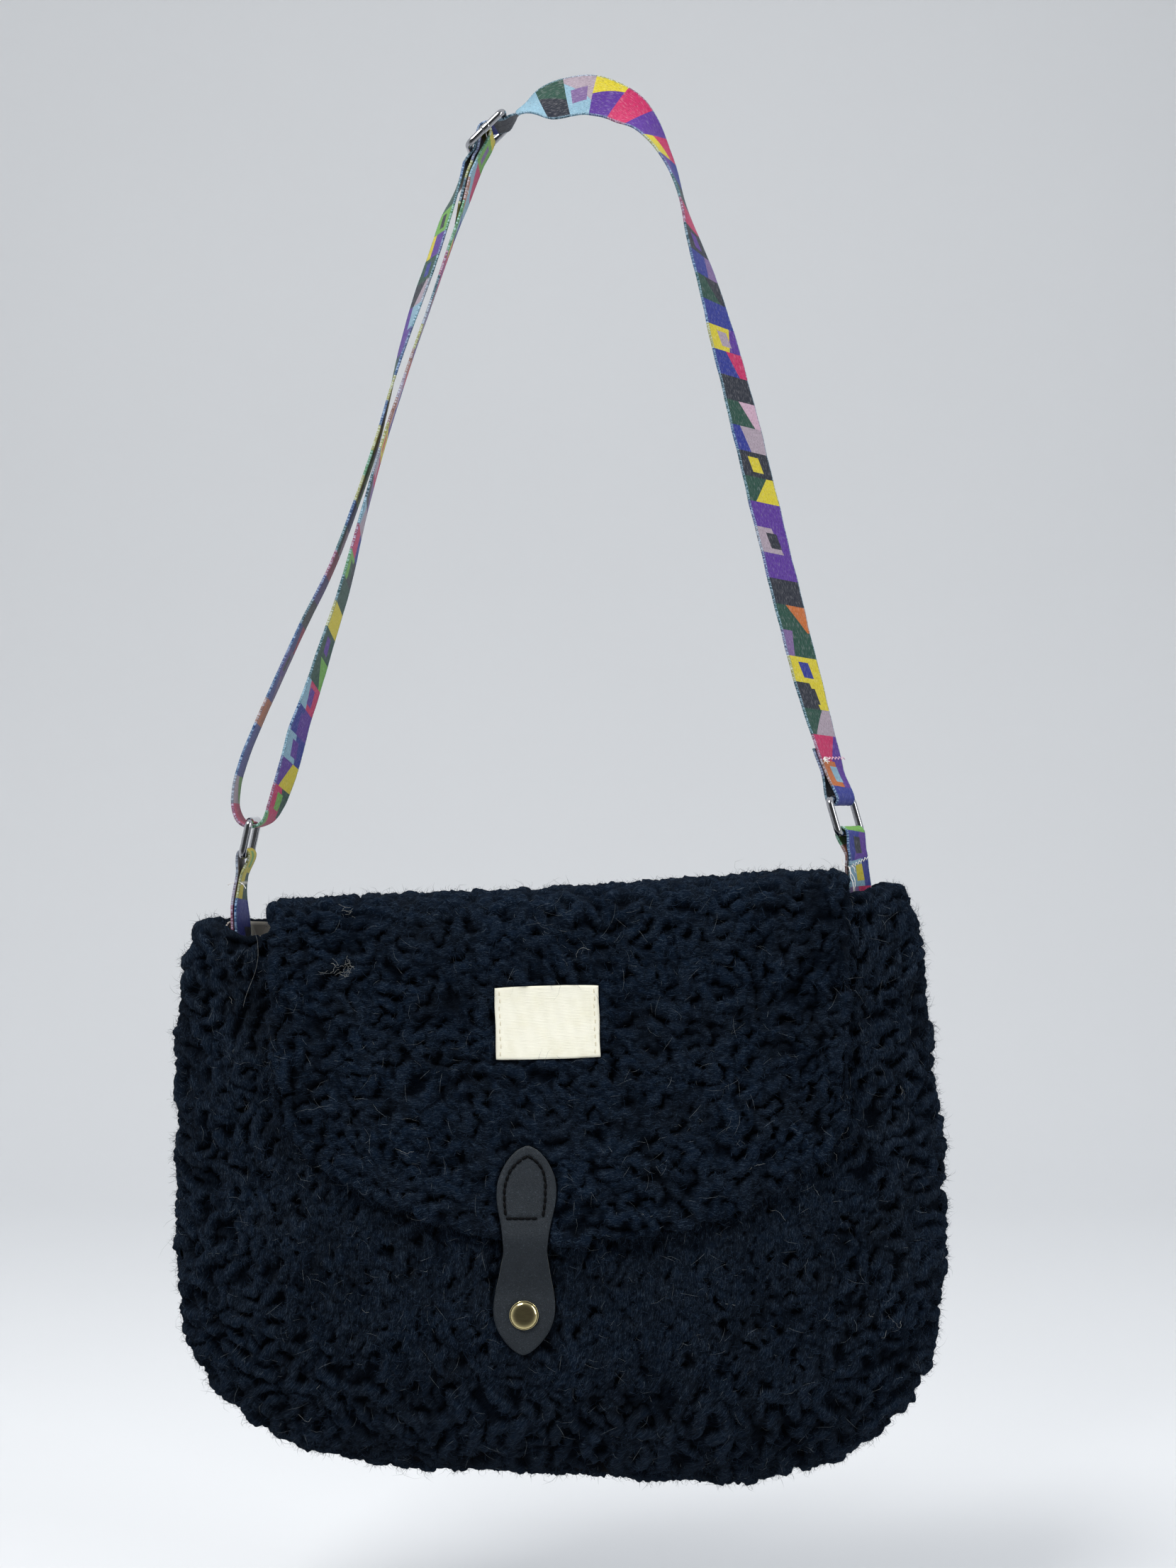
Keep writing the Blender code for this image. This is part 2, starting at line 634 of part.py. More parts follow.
# The slider's middle bar carries the strap's sewn end; the strap's long run goes over it and under both outer bars.
END_TURN = BAR / 2 + GAP + WEB_THICK / 2
OVER_TURN = END_TURN + WEB_THICK + GAP


def slider_pass():
    """The long run through the slider, from the crown's side to the bag's side."""
    far = SLIDER_HIGH / 2
    slope = math.asin((BAR_TURN + OVER_TURN) / far)
    leave = math.degrees(slope)
    at = lambda out, up: (SLIDER.at(out, up), SLIDER.across, BUNCHED + 0.1)
    stations = [
        (SLIDER.at(-BAR_TURN - 1.0, far + 9), facing(-0.16, 0.26), W - 0.4),
        (SLIDER.at(-BAR_TURN - 0.15, far + 4), facing(-0.02, 0.06), BUNCHED + 0.3),
    ]
    stations += turn(SLIDER, far, BAR_TURN, 180, 180 + leave, 2)
    stations += turn(SLIDER, 0, OVER_TURN, leave, -leave, 4)
    stations += turn(SLIDER, -far, BAR_TURN, 180 - leave, 180, 2)
    stations += [at(-BAR_TURN - 0.35, -far - 4), at(-BAR_TURN - 1.6, -far - 9)]
    return stations


def beside(stations, away):
    """Stations of a second layer, `away` from the first along the band's own face."""
    at = np.array([s[0] for s in stations], float)
    tangent = np.gradient(at, axis=0)
    out = []
    for p, t, (_, w, h) in zip(at, tangent, stations):
        out.append((p + unit(np.cross(w, t)) * away, w, h))
    return out


def strap(mat):
    high = RING_HIGH / 2
    front = ends_meet(RIGHT, high, 1, 1, 14)
    # up the right side, over the crown and down to the slider
    crown = ((0.0, -WEB_THICK / 2 * 0.96, WEB_THICK / 2 * 0.28), facing(0.0, 0.96), W)
    over = slider_pass()
    long_run = through([front[-1]] + run(RIGHT_RUN) + [crown] + run(LEFT_SHOULDER) + [over[0]], 5)
    # the sewn end lies behind the first of it, then goes round the right ring's upper bar
    path = beside(long_run[:3], -2 * LAID)[::-1]
    path += ends_meet(RIGHT, high, 1, -1, 14)[:-1][::-1]
    path += turn(RIGHT, high, BAR_TURN, 180, 360, 8)
    path += front[:-1] + long_run[:-1] + over
    # down the outer run, round the left ring's upper bar and back up the inner run
    bottom = (LEFT.at(0.0, high - BAR_TURN - 0.25), LEFT.across, BUNCHED)
    back = [
        (SLIDER.at(-10.6, -21.0), SLIDER.across, W),
        (SLIDER.at(-7.3, -13.3), SLIDER.across, BUNCHED),
    ]
    down = [path[-1]] + run(OUTER_RUN) + [bottom] + run(INNER_RUN) + back
    path = path[:-1] + through(down, 5)
    # the sewn end round the middle bar and back along the inner run's outer side
    slope = math.degrees(math.asin((BAR_TURN + OVER_TURN) / (SLIDER_HIGH / 2)))
    path += turn(SLIDER, 0, END_TURN, 160, -slope, 9)
    path += turn(SLIDER, -SLIDER_HIGH / 2, BAR_TURN + WEB_THICK + GAP, 180 - slope, 180, 2)
    # beyond the slider the end lies along the inner run
    inner = through(down[-4:], 5)[::-1]
    path += beside(inner[1:8], 2 * LAID)
    return ribbon("strap", path, mat)


# ---------------------------------------------------------------- webbing loops between rings and bag

# x, y, z: middle of the two layers; lean: of the far edge to the right; half: half width
RIGHT_TAB = [
    dict(x=136.6, y=-69.4, z=-414.0, lean=0.52, half=11.6),
    dict(x=137.2, y=-68.6, z=-422.0, lean=0.55, half=12.2),
    dict(x=137.6, y=-68.2, z=-431.0, lean=0.56, half=12.5),
    dict(x=137.6, y=-68.0, z=-448.0, lean=0.54, half=12.5),
]
LEFT_TAB = [
    dict(x=-178.2, y=-68.0, z=-423.5, lean=0.06, half=10.8),
    dict(x=-178.6, y=-68.0, z=-431.0, lean=0.12, half=11.6),
    dict(x=-178.0, y=-68.0, z=-440.0, lean=0.16, half=12.2),
    dict(x=-176.8, y=-68.0, z=-456.0, lean=0.14, half=12.2),
]
TAB_MEET = 11.0  # below the bar, where a loop's two layers are sewn together


def webbing_loop(name, frame, table, mat):
    """A folded band: up from inside the bag, over the ring's lower bar, and down again."""
    low = -RING_HIGH / 2
    middle = [((r["x"], r["y"], r["z"]), facing(r["lean"], 0.0), r["half"]) for r in table]
    top = (frame.at(0.0, low - TAB_MEET), frame.across, BUNCHED)
    middle = through([top] + middle, 3)
    layers = []
    for side in (1, -1):
        layer = []
        for i, (p, w, h) in enumerate(middle):
            a, b = middle[max(0, i - 1)][0], middle[min(len(middle) - 1, i + 1)][0]
            out = unit(np.cross(w, np.array(a) - np.array(b)))
            layer.append((np.array(p) + out * side * LAID, w, h))
        layers.append(ends_meet(frame, low, -1, side, TAB_MEET)[:-1] + layer)
    path = layers[0][::-1] + turn(frame, low, BAR_TURN, 0, 180, 8) + layers[1]
    return ribbon(name, path, mat)


# ---------------------------------------------------------------- the whole bag

WOOL = material("black_curly_wool", (0.012, 0.013, 0.016), 0.95)
FLAP_WOOL = material("black_curly_wool_flap", (0.014, 0.015, 0.018), 0.95)
CLOTH = material("grey_beige_lining", (0.30, 0.26, 0.21), 0.85)
CREAM = material("cream_label", (0.80, 0.76, 0.66), 0.8)
LEATHER = material("dark_leather", (0.045, 0.047, 0.052), 0.55)
BRASS = material("polished_brass", (0.78, 0.62, 0.32), 0.16, 1.0)
STRAP = material("printed_webbing", (0.20, 0.10, 0.42), 0.6)
TABS = material("printed_webbing_tabs", (0.16, 0.12, 0.45), 0.6)
NICKEL = material("dark_nickel", (0.24, 0.24, 0.26), 0.18, 1.0)

pouch(WOOL)
mouth_lining(CLOTH)
solid_sheet("flap", flap_columns(), FLAP_THICK, FLAP_WOOL)
label(CREAM)
closure_tab(LEATHER)
snap(BRASS)
ring("ring_left", LEFT, NICKEL)
ring("ring_right", RIGHT, NICKEL)
slider(NICKEL)
strap(STRAP)
webbing_loop("tab_left", LEFT, LEFT_TAB, TABS)
webbing_loop("tab_right", RIGHT, RIGHT_TAB, TABS)
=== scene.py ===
"""Looks of the flap shoulder bag: curly pile, lining, printed webbing, leather, metal, stitching, lights and camera.

Millimetres in the tables, metres in the scene. +X right, -Y front, +Z up; the origin is under the strap's crown.
"""

import math

import bpy
import numpy as np
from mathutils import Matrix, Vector
from mathutils.bvhtree import BVHTree


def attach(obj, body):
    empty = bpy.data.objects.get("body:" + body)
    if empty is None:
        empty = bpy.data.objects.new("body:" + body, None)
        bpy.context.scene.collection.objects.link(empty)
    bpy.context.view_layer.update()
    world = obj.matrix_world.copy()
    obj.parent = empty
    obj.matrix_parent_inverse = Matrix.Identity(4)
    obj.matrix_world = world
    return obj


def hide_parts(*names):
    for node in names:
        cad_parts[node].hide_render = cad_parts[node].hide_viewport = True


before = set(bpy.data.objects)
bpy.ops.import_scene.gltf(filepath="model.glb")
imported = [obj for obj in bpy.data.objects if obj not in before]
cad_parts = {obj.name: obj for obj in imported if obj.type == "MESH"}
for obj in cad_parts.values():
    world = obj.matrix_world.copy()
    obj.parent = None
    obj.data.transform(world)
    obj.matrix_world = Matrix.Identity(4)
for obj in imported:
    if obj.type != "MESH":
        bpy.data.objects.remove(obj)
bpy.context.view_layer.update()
MM = 0.001
rng = np.random.default_rng(11)

# ------------------------------------------------------------------ small tools


def unit(v):
    v = np.asarray(v, float)
    return v / np.linalg.norm(v)


def units(v):
    return v / np.maximum(np.linalg.norm(v, axis=-1, keepdims=True), 1e-12)


def smooth_step(a, b, x):
    t = np.clip((x - a) / (b - a), 0, 1)
    return t * t * (3 - 2 * t)


def build(name, points, faces, mat, smooth=True, uv=None, slots=None):
    """An object from points in millimetres and faces, given as one array or as a list of arrays of equal-sided faces."""
    faces = [np.asarray(f, np.int32) for f in (faces if isinstance(faces, list) else [faces]) if len(f)]
    mesh = bpy.data.meshes.new(name)
    points = np.asarray(points, float)
    mesh.vertices.add(len(points))
    mesh.vertices.foreach_set("co", (points * MM).astype(np.float32).ravel())
    corners = np.concatenate([f.ravel() for f in faces])
    total = np.concatenate([np.full(len(f), f.shape[1], np.int32) for f in faces])
    start = np.concatenate([[0], np.cumsum(total)[:-1]]).astype(np.int32)
    mesh.loops.add(len(corners))
    mesh.loops.foreach_set("vertex_index", corners)
    mesh.polygons.add(len(total))
    mesh.polygons.foreach_set("loop_start", start)
    mesh.polygons.foreach_set("loop_total", total)
    mesh.polygons.foreach_set("use_smooth", np.full(len(total), smooth))
    mats = mat if isinstance(mat, (list, tuple)) else [mat]
    for m in mats:
        mesh.materials.append(m)
    if slots is not None:
        mesh.polygons.foreach_set("material_index", np.asarray(slots, np.int32))
    if uv is not None:
        layer = mesh.uv_layers.new(name="pattern")
        layer.uv.foreach_set("vector", np.asarray(uv, np.float32)[corners].ravel())
    mesh.update(calc_edges=True)
    mesh.validate()
    ob = bpy.data.objects.new(name, mesh)
    bpy.context.scene.collection.objects.link(ob)
    return ob


def outward(points, faces):
    """Faces turned, all or none, so that the closed mesh they make has its normals out."""
    p, volume = np.asarray(points, float), 0.0
    for f in faces if isinstance(faces, list) else [faces]:
        f = np.asarray(f)
        for k in range(1, f.shape[1] - 1):
            volume += np.einsum("ij,ij->i", p[f[:, 0]], np.cross(p[f[:, k]], p[f[:, k + 1]])).sum()
    if volume >= 0:
        return faces
    return [np.asarray(f)[:, ::-1] for f in faces] if isinstance(faces, list) else np.asarray(faces)[:, ::-1]


def grid_quads(rows, cols, closed=False, start=0):
    """Quads of a grid of points, row by row."""
    i, j = np.meshgrid(np.arange(rows - 1), np.arange(cols if closed else cols - 1), indexing="ij")
    k = (j + 1) % cols
    quads = np.stack([i * cols + j, i * cols + k, (i + 1) * cols + k, (i + 1) * cols + j], -1)
    return quads.reshape(-1, 4) + start


def many_tubes(centres, radii, side, up, sides, ends=True, squash=None):
    """Points and faces of many closed tubes at once: centres is (tube, ring, 3), radii is (tube, ring, sides)."""
    n, rings = centres.shape[:2]
    a = 2 * np.pi * np.arange(sides) / sides
    points = (
        centres[:, :, None]
        + side[:, :, None] * (radii * np.cos(a))[..., None]
        + up[:, :, None] * (radii * np.sin(a))[..., None]
    )
    each = rings * sides + 2
    caps = np.stack([centres[:, 0], centres[:, -1]], 1)
    tangent = units(np.stack([centres[:, 0] - centres[:, 1], centres[:, -1] - centres[:, -2]], 1))
    caps = caps + tangent * radii[:, [0, -1]].mean(-1)[..., None] * 0.35
    points = np.concatenate([points.reshape(n, -1, 3), caps], 1)
    quads = grid_quads(rings, sides, closed=True)
    k = np.arange(sides)
    first = np.stack([np.full(sides, rings * sides), (k + 1) % sides, k], -1)
    last = (rings - 1) * sides
    second = np.stack([np.full(sides, rings * sides + 1), last + k, last + (k + 1) % sides], -1)
    tris = np.concatenate([first, second])
    shift = (np.arange(n) * each)[:, None, None]
    points = points.reshape(-1, 3)
    faces = [(quads[None] + shift).reshape(-1, 4), (tris[None] + shift).reshape(-1, 3)]
    return points, faces


def path_frames(path):
    """Side and up directions along one path, carried without twist."""
    t = units(np.gradient(path, axis=0))
    ref = np.array([0.0, 0.0, 1.0]) if abs(t[0][2]) < 0.9 else np.array([0.0, 1.0, 0.0])
    side, sides = np.cross(t[0], ref), []
    for d in t:
        side = side - d * (side @ d)
        side = side / np.linalg.norm(side)
        sides.append(side)
    sides = np.array(sides)
    return sides, np.cross(t, sides)


def threads(name, paths, radius, mat, sides=6, taper=0.55):
    """One object of many threads; paths are arrays of points in millimetres."""
    points, quads, tris, start = [], [], [], 0
    for path in paths:
        path = np.asarray(path, float)
        s, u = path_frames(path)
        r = np.full(len(path), radius)
        r[0] *= taper
        r[-1] *= taper
        p, f = many_tubes(path[None], np.repeat(r[None, :, None], sides, 2), s[None], u[None], sides)
        f = outward(p, f)
        points.append(p)
        quads.append(f[0] + start)
        tris.append(f[1] + start)
        start += len(p)
    return build(name, np.concatenate(points), [np.concatenate(quads), np.concatenate(tris)], mat)


def eased(rows, key, column):
    """A smooth function of `key` through one column of a table of rows."""
    x = np.array([r[key] for r in rows], float)
    y = np.array([r[column] for r in rows], float)
    slope = np.gradient(y, x)
    step = np.diff(y) / np.diff(x)
    for i in range(1, len(x) - 1):
        if step[i - 1] * step[i] <= 0:
            slope[i] = 0.0

    def value(at):
        at = np.asarray(at, float)
        i = np.clip(np.searchsorted(x, at) - 1, 0, len(x) - 2)
        h = x[i + 1] - x[i]
        s = (at - x[i]) / h
        a, b = 2 * s**3 - 3 * s**2 + 1, s**3 - 2 * s**2 + s
        c, d = -2 * s**3 + 3 * s**2, s**3 - s**2
        return a * y[i] + b * h * slope[i] + c * y[i + 1] + d * h * slope[i + 1]

    return value


def lumps(p, seed, scale):
    """A smooth wandering field of points in millimetres, about -1 to 1, that repeats nowhere on the bag."""
    r = np.random.default_rng(seed)
    total = 0.0
    for _ in range(7):
        way = unit(r.normal(size=3)) / scale * (0.7 + 0.8 * r.random())
        total = total + np.sin(p @ (way * 2 * np.pi) + 6.3 * r.random())
    return total / 3.0


# ------------------------------------------------------------------ materials


class Nodes:
    """A short way to write a material's nodes."""

    def __init__(self, name):
        self.mat = bpy.data.materials.new(name)
        self.mat.use_nodes = True
        self.tree = self.mat.node_tree
        self.shader = self.tree.nodes["Principled BSDF"]

    def add(self, kind, **values):
        n = self.tree.nodes.new(kind)
        for key, value in values.items():
            setattr(n, key, value)
        return n

    def link(self, a, b):
        self.tree.links.new(a, b)

    def put(self, socket, value):
        if hasattr(value, "links"):
            self.link(value, socket)
        else:
            socket.default_value = value

    def uv(self):
        return self.add("ShaderNodeUVMap", uv_map="pattern").outputs["UV"]

    def place(self):
        return self.add("ShaderNodeTexCoord").outputs["Object"]

    def mapped(self, vector, scale=(1, 1, 1), turn=(0, 0, 0), move=(0, 0, 0)):
        n = self.add("ShaderNodeMapping")
        self.link(vector, n.inputs["Vector"])
        n.inputs["Scale"].default_value = scale
        n.inputs["Rotation"].default_value = turn
        n.inputs["Location"].default_value = move
        return n.outputs["Vector"]

    def noise(self, vector, scale, detail=2.0, rough=0.5, distort=0.0):
        n = self.add("ShaderNodeTexNoise")
        self.link(vector, n.inputs["Vector"])
        n.inputs["Scale"].default_value = scale
        n.inputs["Detail"].default_value = detail
        n.inputs["Roughness"].default_value = rough
        n.inputs["Distortion"].default_value = distort
        return n.outputs["Fac"]

    def math(self, how, a, b=0.0, c=0.0):
        n = self.add("ShaderNodeMath", operation=how)
        for socket, value in zip(n.inputs, (a, b, c)):
            self.put(socket, value)
        return n.outputs[0]

    def ramp(self, fac, stops, constant=False):
        n = self.add("ShaderNodeValToRGB")
        self.link(fac, n.inputs["Fac"])
        ramp = n.color_ramp
        ramp.interpolation = "CONSTANT" if constant else "LINEAR"
        while len(ramp.elements) < len(stops):
            ramp.elements.new(0.5)
        for e, (at, colour) in zip(ramp.elements, stops):
            e.position = at
            e.color = (*colour, 1) if len(colour) == 3 else colour
        return n.outputs["Color"]

    def grade(self, fac, low, high, to_low=0.0, to_high=1.0):
        n = self.add("ShaderNodeMapRange")
        for key, value in (("Value", fac), ("From Min", low), ("From Max", high), ("To Min", to_low), ("To Max", to_high)):
            self.put(n.inputs[key], value)
        return n.outputs["Result"]

    def mix(self, fac, a, b, how="MIX"):
        n = self.add("ShaderNodeMix", data_type="RGBA", blend_type=how)
        self.put(n.inputs["Factor"], fac)
        self.put(n.inputs["A"], a if hasattr(a, "links") else (*a, 1))
        self.put(n.inputs["B"], b if hasattr(b, "links") else (*b, 1))
        return n.outputs["Result"]

    def split(self, vector):
        n = self.add("ShaderNodeSeparateXYZ")
        self.link(vector, n.inputs[0])
        return n.outputs

    def bump(self, height, strength, distance, under=None):
        n = self.add("ShaderNodeBump")
        self.link(height, n.inputs["Height"])
        n.inputs["Strength"].default_value = strength
        n.inputs["Distance"].default_value = distance
        if under is not None:
            self.link(under, n.inputs["Normal"])
        return n.outputs["Normal"]

    def done(self, colour=None, rough=None, metal=None, normal=None, **fixed):
        names = {"Base Color": colour, "Roughness": rough, "Metallic": metal, "Normal": normal}
        for key, value in names.items():
            if value is None:
                continue
            if key == "Base Color" and not hasattr(value, "links"):
                value = (*value, 1)
            self.put(self.shader.inputs[key], value)
        for key, value in fixed.items():
            self.shader.inputs[key.replace("_", " ")].default_value = value
        return self.mat


def wool(name, hollow_shade, light, stroke):
    """Black curly pile with fine paler fibres lying every way, and with painted shade in its hollows and painted light
    on its tops.
    """
    n = Nodes(name)
    uv, at = n.uv(), n.place()
    rise = n.add("ShaderNodeAttribute", attribute_name="rise").outputs["Fac"]
    strokes, fields = None, []
    for turn, across, along, distort, low in ((0.15, 2.3, 0.34, 1.2, 0.585), (1.15, 2.6, 0.38, 1.4, 0.59), (2.2, 2.1, 0.30, 1.3, 0.595)):
        field = n.noise(n.mapped(uv, (across, along, 1), (0, 0, turn), (17 * turn, 5 * turn, 0)), 1.0, 2, 0.55, distort)
        fields.append(field)
        line = n.grade(field, low, low + 0.075)
        strokes = line if strokes is None else n.math("MAXIMUM", strokes, line)
    tone = n.noise(at, 46.0, 3, 0.6)
    patch = n.noise(at, 330.0, 3, 0.65)
    # the rise attribute paints shade into the hollows and light onto the tops; the patch noise varies how light the
    # tops get
    top = n.math("MULTIPLY", n.math("POWER", rise, 1.25), n.grade(patch, 0.30, 0.68, 0.40, 1.0))
    base = n.mix(top, hollow_shade, light)
    base = n.mix(n.grade(tone, 0.42, 0.66, 0.0, 0.35), base, (0.0058, 0.0074, 0.0095))
    # the paler fibre strokes fade into the painted shade of the hollows
    colour = n.mix(n.math("MULTIPLY", strokes, n.grade(rise, 0.0, 1.0, 0.12, 0.62)), base, stroke)
    height = n.math("ADD", n.math("ADD", fields[0], fields[1]), n.math("ADD", fields[2], patch))
    normal = n.bump(height, 0.7, 0.0010)
    return n.done(
        colour, 0.95, 0.0, normal, Sheen_Weight=0.008, Sheen_Roughness=0.5, Sheen_Tint=(0.75, 0.86, 1.0, 1.0), Specular_IOR_Level=0.01
    )


def fibre(name, colour, spread):
    n = Nodes(name)
    tone = n.noise(n.place(), 700.0, 2)
    return n.done(n.mix(n.grade(tone, 0.35, 0.65), colour, tuple(c * spread for c in colour)), 0.85, 0.0, Specular_IOR_Level=0.03)


def backing(name, colour):
    """A plain tight weave under the pile."""
    n = Nodes(name)
    at = n.place()
    weave = n.noise(at, 1600.0, 2)
    tone = n.noise(at, 120.0, 3)
    c = n.mix(n.grade(tone, 0.35, 0.65), colour, tuple(v * 1.5 for v in colour))
    return n.done(c, 0.95, 0.0, n.bump(weave, 0.5, 0.0006), Specular_IOR_Level=0.04)


def lining_cloth(name, colour):
    """Grey-beige close weave, a little creased."""
    n = Nodes(name)
    at = n.place()
    weave = n.noise(n.mapped(at, (1, 1, 0.5)), 2200.0, 2)
    tone = n.noise(at, 90.0, 4, 0.6)
    c = n.mix(n.grade(tone, 0.3, 0.7), tuple(v * 0.82 for v in colour), tuple(v * 1.12 for v in colour))
    folds = n.noise(n.mapped(at, (55, 55, 18)), 1.0, 3)
    return n.done(c, 0.88, 0.0, n.bump(weave, 0.25, 0.0003, n.bump(folds, 0.5, 0.003)), Specular_IOR_Level=0.2)


def tape_cloth(name, colour):
    """Cream cotton tape with a fine close rib and a little soiling."""
    n = Nodes(name)
    uv, at = n.uv(), n.place()
    x, y, _ = n.split(uv)
    rib = n.math("SINE", n.math("MULTIPLY", y, 2 * math.pi / 0.45))
    pick = n.math("SINE", n.math("MULTIPLY", x, 2 * math.pi / 0.62))
    weave = n.math("ADD", n.math("MULTIPLY", rib, 0.5), n.math("MULTIPLY", n.math("MULTIPLY", pick, rib), 0.35))
    slub = n.noise(n.mapped(uv, (0.25, 1.6, 1)), 1.0, 3, 0.6)
    soil = n.noise(at, 70.0, 4, 0.65)
    c = n.mix(n.grade(soil, 0.42, 0.72), colour, tuple(a * b for a, b in zip(colour, (0.93, 0.92, 0.86))))
    c = n.mix(n.grade(slub, 0.45, 0.75, 0.0, 0.2), c, tuple(v * 0.86 for v in colour))
    speck = n.noise(at, 1300.0, 1)
    c = n.mix(n.grade(speck, 0.76, 0.80, 0.0, 0.35), c, (0.45, 0.40, 0.32))
    return n.done(c, 0.86, 0.0, n.bump(weave, 0.3, 0.0002, n.bump(slub, 0.35, 0.0006)), Specular_IOR_Level=0.2)


def leather(name, colour):
    """Dark charcoal leather with a pebbled grain."""
    n = Nodes(name)
    at = n.place()
    cells = n.add("ShaderNodeTexVoronoi", feature="DISTANCE_TO_EDGE")
    n.link(n.mapped(at, (0.62, 1, 1), (0, 0.25, 0)), cells.inputs["Vector"])
    cells.inputs["Scale"].default_value = 1650.0
    grain = n.grade(cells.outputs["Distance"], 0.0, 0.26)
    fine = n.noise(at, 2000.0, 2)
    height = n.math("ADD", grain, n.math("MULTIPLY", fine, 0.5))
    tone = n.noise(at, 130.0, 4, 0.6)
    c = n.mix(n.grade(tone, 0.3, 0.7), tuple(v * 0.88 for v in colour), tuple(v * 1.14 for v in colour))
    c = n.mix(n.grade(grain, 0.0, 0.7, 0.5, 0.0), c, tuple(v * 0.35 for v in colour))
    spot = n.noise(at, 1250.0, 1)
    c = n.mix(n.grade(spot, 0.60, 0.72, 0.0, 0.5), c, tuple(v * 2.4 for v in colour))
    rough = n.grade(fine, 0.3, 0.7, 0.46, 0.60)
    return n.done(c, rough, 0.0, n.bump(height, 0.4, 0.0003), Specular_IOR_Level=0.20)


def raw_edge(name, colour):
    n = Nodes(name)
    rough = n.noise(n.mapped(n.place(), (1, 3.5, 1)), 900.0, 3, 0.7)
    c = n.mix(n.grade(rough, 0.3, 0.7), colour, tuple(v * 1.7 for v in colour))
    return n.done(c, 0.75, 0.0, n.bump(rough, 0.6, 0.0004), Specular_IOR_Level=0.3)


def metal(name, colour, rough, worn):
    """Polished plated metal with faint rubbing marks."""
    n = Nodes(name)
    at = n.place()
    rub = n.noise(n.mapped(at, (1, 1, 3.0)), 260.0, 4, 0.6)
    fine = n.noise(n.mapped(at, (1, 6, 1)), 1500.0, 2)
    c = n.mix(n.grade(rub, 0.45, 0.75), colour, worn)
    return n.done(c, n.grade(rub, 0.40, 0.75, rough, rough + 0.10), 1.0, n.bump(fine, 0.04, 0.0001))


PALETTE = [
    (0.00, (0.013, 0.023, 0.200)),
    (0.13, (0.070, 0.020, 0.215)),
    (0.24, (0.500, 0.420, 0.020)),
    (0.35, (0.400, 0.014, 0.085)),
    (0.45, (0.300, 0.245, 0.290)),
    (0.54, (0.012, 0.015, 0.024)),
    (0.62, (0.115, 0.300, 0.045)),
    (0.70, (0.150, 0.092, 0.225)),
    (0.78, (0.190, 0.330, 0.420)),
    (0.84, (0.008, 0.050, 0.032)),
    (0.91, (0.400, 0.110, 0.022)),
    (0.96, (0.440, 0.290, 0.370)),
]


def webbing_print(name, seed):
    """Close satin webbing with a bright print of plain fields with slanted borders.
    The pattern map runs 0 to 1 across the band and counts blocks of 36 mm along it."""
    n = Nodes(name)
    u, v, _ = n.split(n.uv())

    def chance(value, salt):
        w = n.add("ShaderNodeTexWhiteNoise", noise_dimensions="1D")
        n.link(n.math("ADD", value, salt + seed * 7.31), w.inputs["W"])
        return w.outputs["Value"]

    def colour(value, salt):
        return n.ramp(chance(value, salt), PALETTE, constant=True)

    def where(*tests):
        out = tests[0]
        for t in tests[1:]:
            out = n.math("MULTIPLY", out, t)
        return out

    mid = n.math("SUBTRACT", u, 0.5)
    # cells of 14 mm; most are split lengthwise by a slanted line, and a few have a small field in their middle
    along = n.math("ADD", n.math("MULTIPLY", v, 2.55), n.math("MULTIPLY", mid, 0.14))
    cell, f = n.math("FLOOR", along), n.math("SUBTRACT", n.math("FRACT", along), 0.5)
    lean = n.math("SUBTRACT", n.math("MULTIPLY", chance(cell, 5.5), 1.1), 0.55)
    shift = n.math("SUBTRACT", n.math("MULTIPLY", chance(cell, 6.5), 0.40), 0.20)
    line = n.math("ADD", n.math("ADD", mid, shift), n.math("MULTIPLY", f, lean))
    base = n.mix(where(n.math("GREATER_THAN", line, 0.0), n.math("GREATER_THAN", chance(cell, 8.5), 0.28)), colour(cell, 11.7), colour(cell, 41.3))
    inside = where(
        n.math("LESS_THAN", n.math("ABSOLUTE", n.math("ADD", mid, n.math("MULTIPLY", f, 0.12))), 0.17),
        n.math("LESS_THAN", n.math("ABSOLUTE", f), 0.30),
    )
    base = n.mix(where(inside, n.math("GREATER_THAN", chance(cell, 13.7), 0.66)), base, colour(cell, 71.9))
    # the yarn: fine floats along the band, with a painted satin highlight and painted shade in the hollows between them
    floats = n.noise(n.mapped(n.uv(), (64.0, 26.0, 1)), 1.0, 2, 0.6)
    shine = n.noise(n.mapped(n.uv(), (44.0, 12.0, 1), (0, 0, 0), (3.0, 9.0, 0)), 1.0, 2, 0.6)
    # painted shade where the floats lie low
    base = n.mix(n.grade(floats, 0.32, 0.56, 0.40, 0.0), base, (0.004, 0.004, 0.012))
    # painted satin highlight in streaks
    base = n.mix(n.grade(shine, 0.52, 0.72, 0.0, 0.16), base, (0.66, 0.64, 0.66))
    # selvages with a sparkle of paler and teal yarn
    side = n.math("ABSOLUTE", mid)
    spark = n.noise(n.mapped(n.uv(), (30.0, 52.0, 1), (0, 0, 0.5)), 1.0, 2, 0.7)
    selvage = n.mix(n.grade(spark, 0.47, 0.58), (0.010, 0.060, 0.085), (0.36, 0.50, 0.62))
    selvage = n.mix(0.42, selvage, base)
    base = n.mix(n.math("GREATER_THAN", side, 0.458), base, selvage)
    height = n.math("ADD", floats, n.math("MULTIPLY", shine, 0.7))
    rough = n.grade(floats, 0.3, 0.7, 0.55, 0.40)
    return n.done(base, rough, 0.0, n.bump(height, 0.5, 0.0005), Specular_IOR_Level=0.20)


def sewing(name, colour, shine=0.3):
    """Twisted sewing thread."""
    n = Nodes(name)
    ply = n.noise(n.place(), 2600.0, 2)
    c = n.mix(n.grade(ply, 0.35, 0.65), colour, tuple(v * 0.7 for v in colour))
    return n.done(c, 0.6, 0.0, n.bump(ply, 0.4, 0.0002), Specular_IOR_Level=shine)


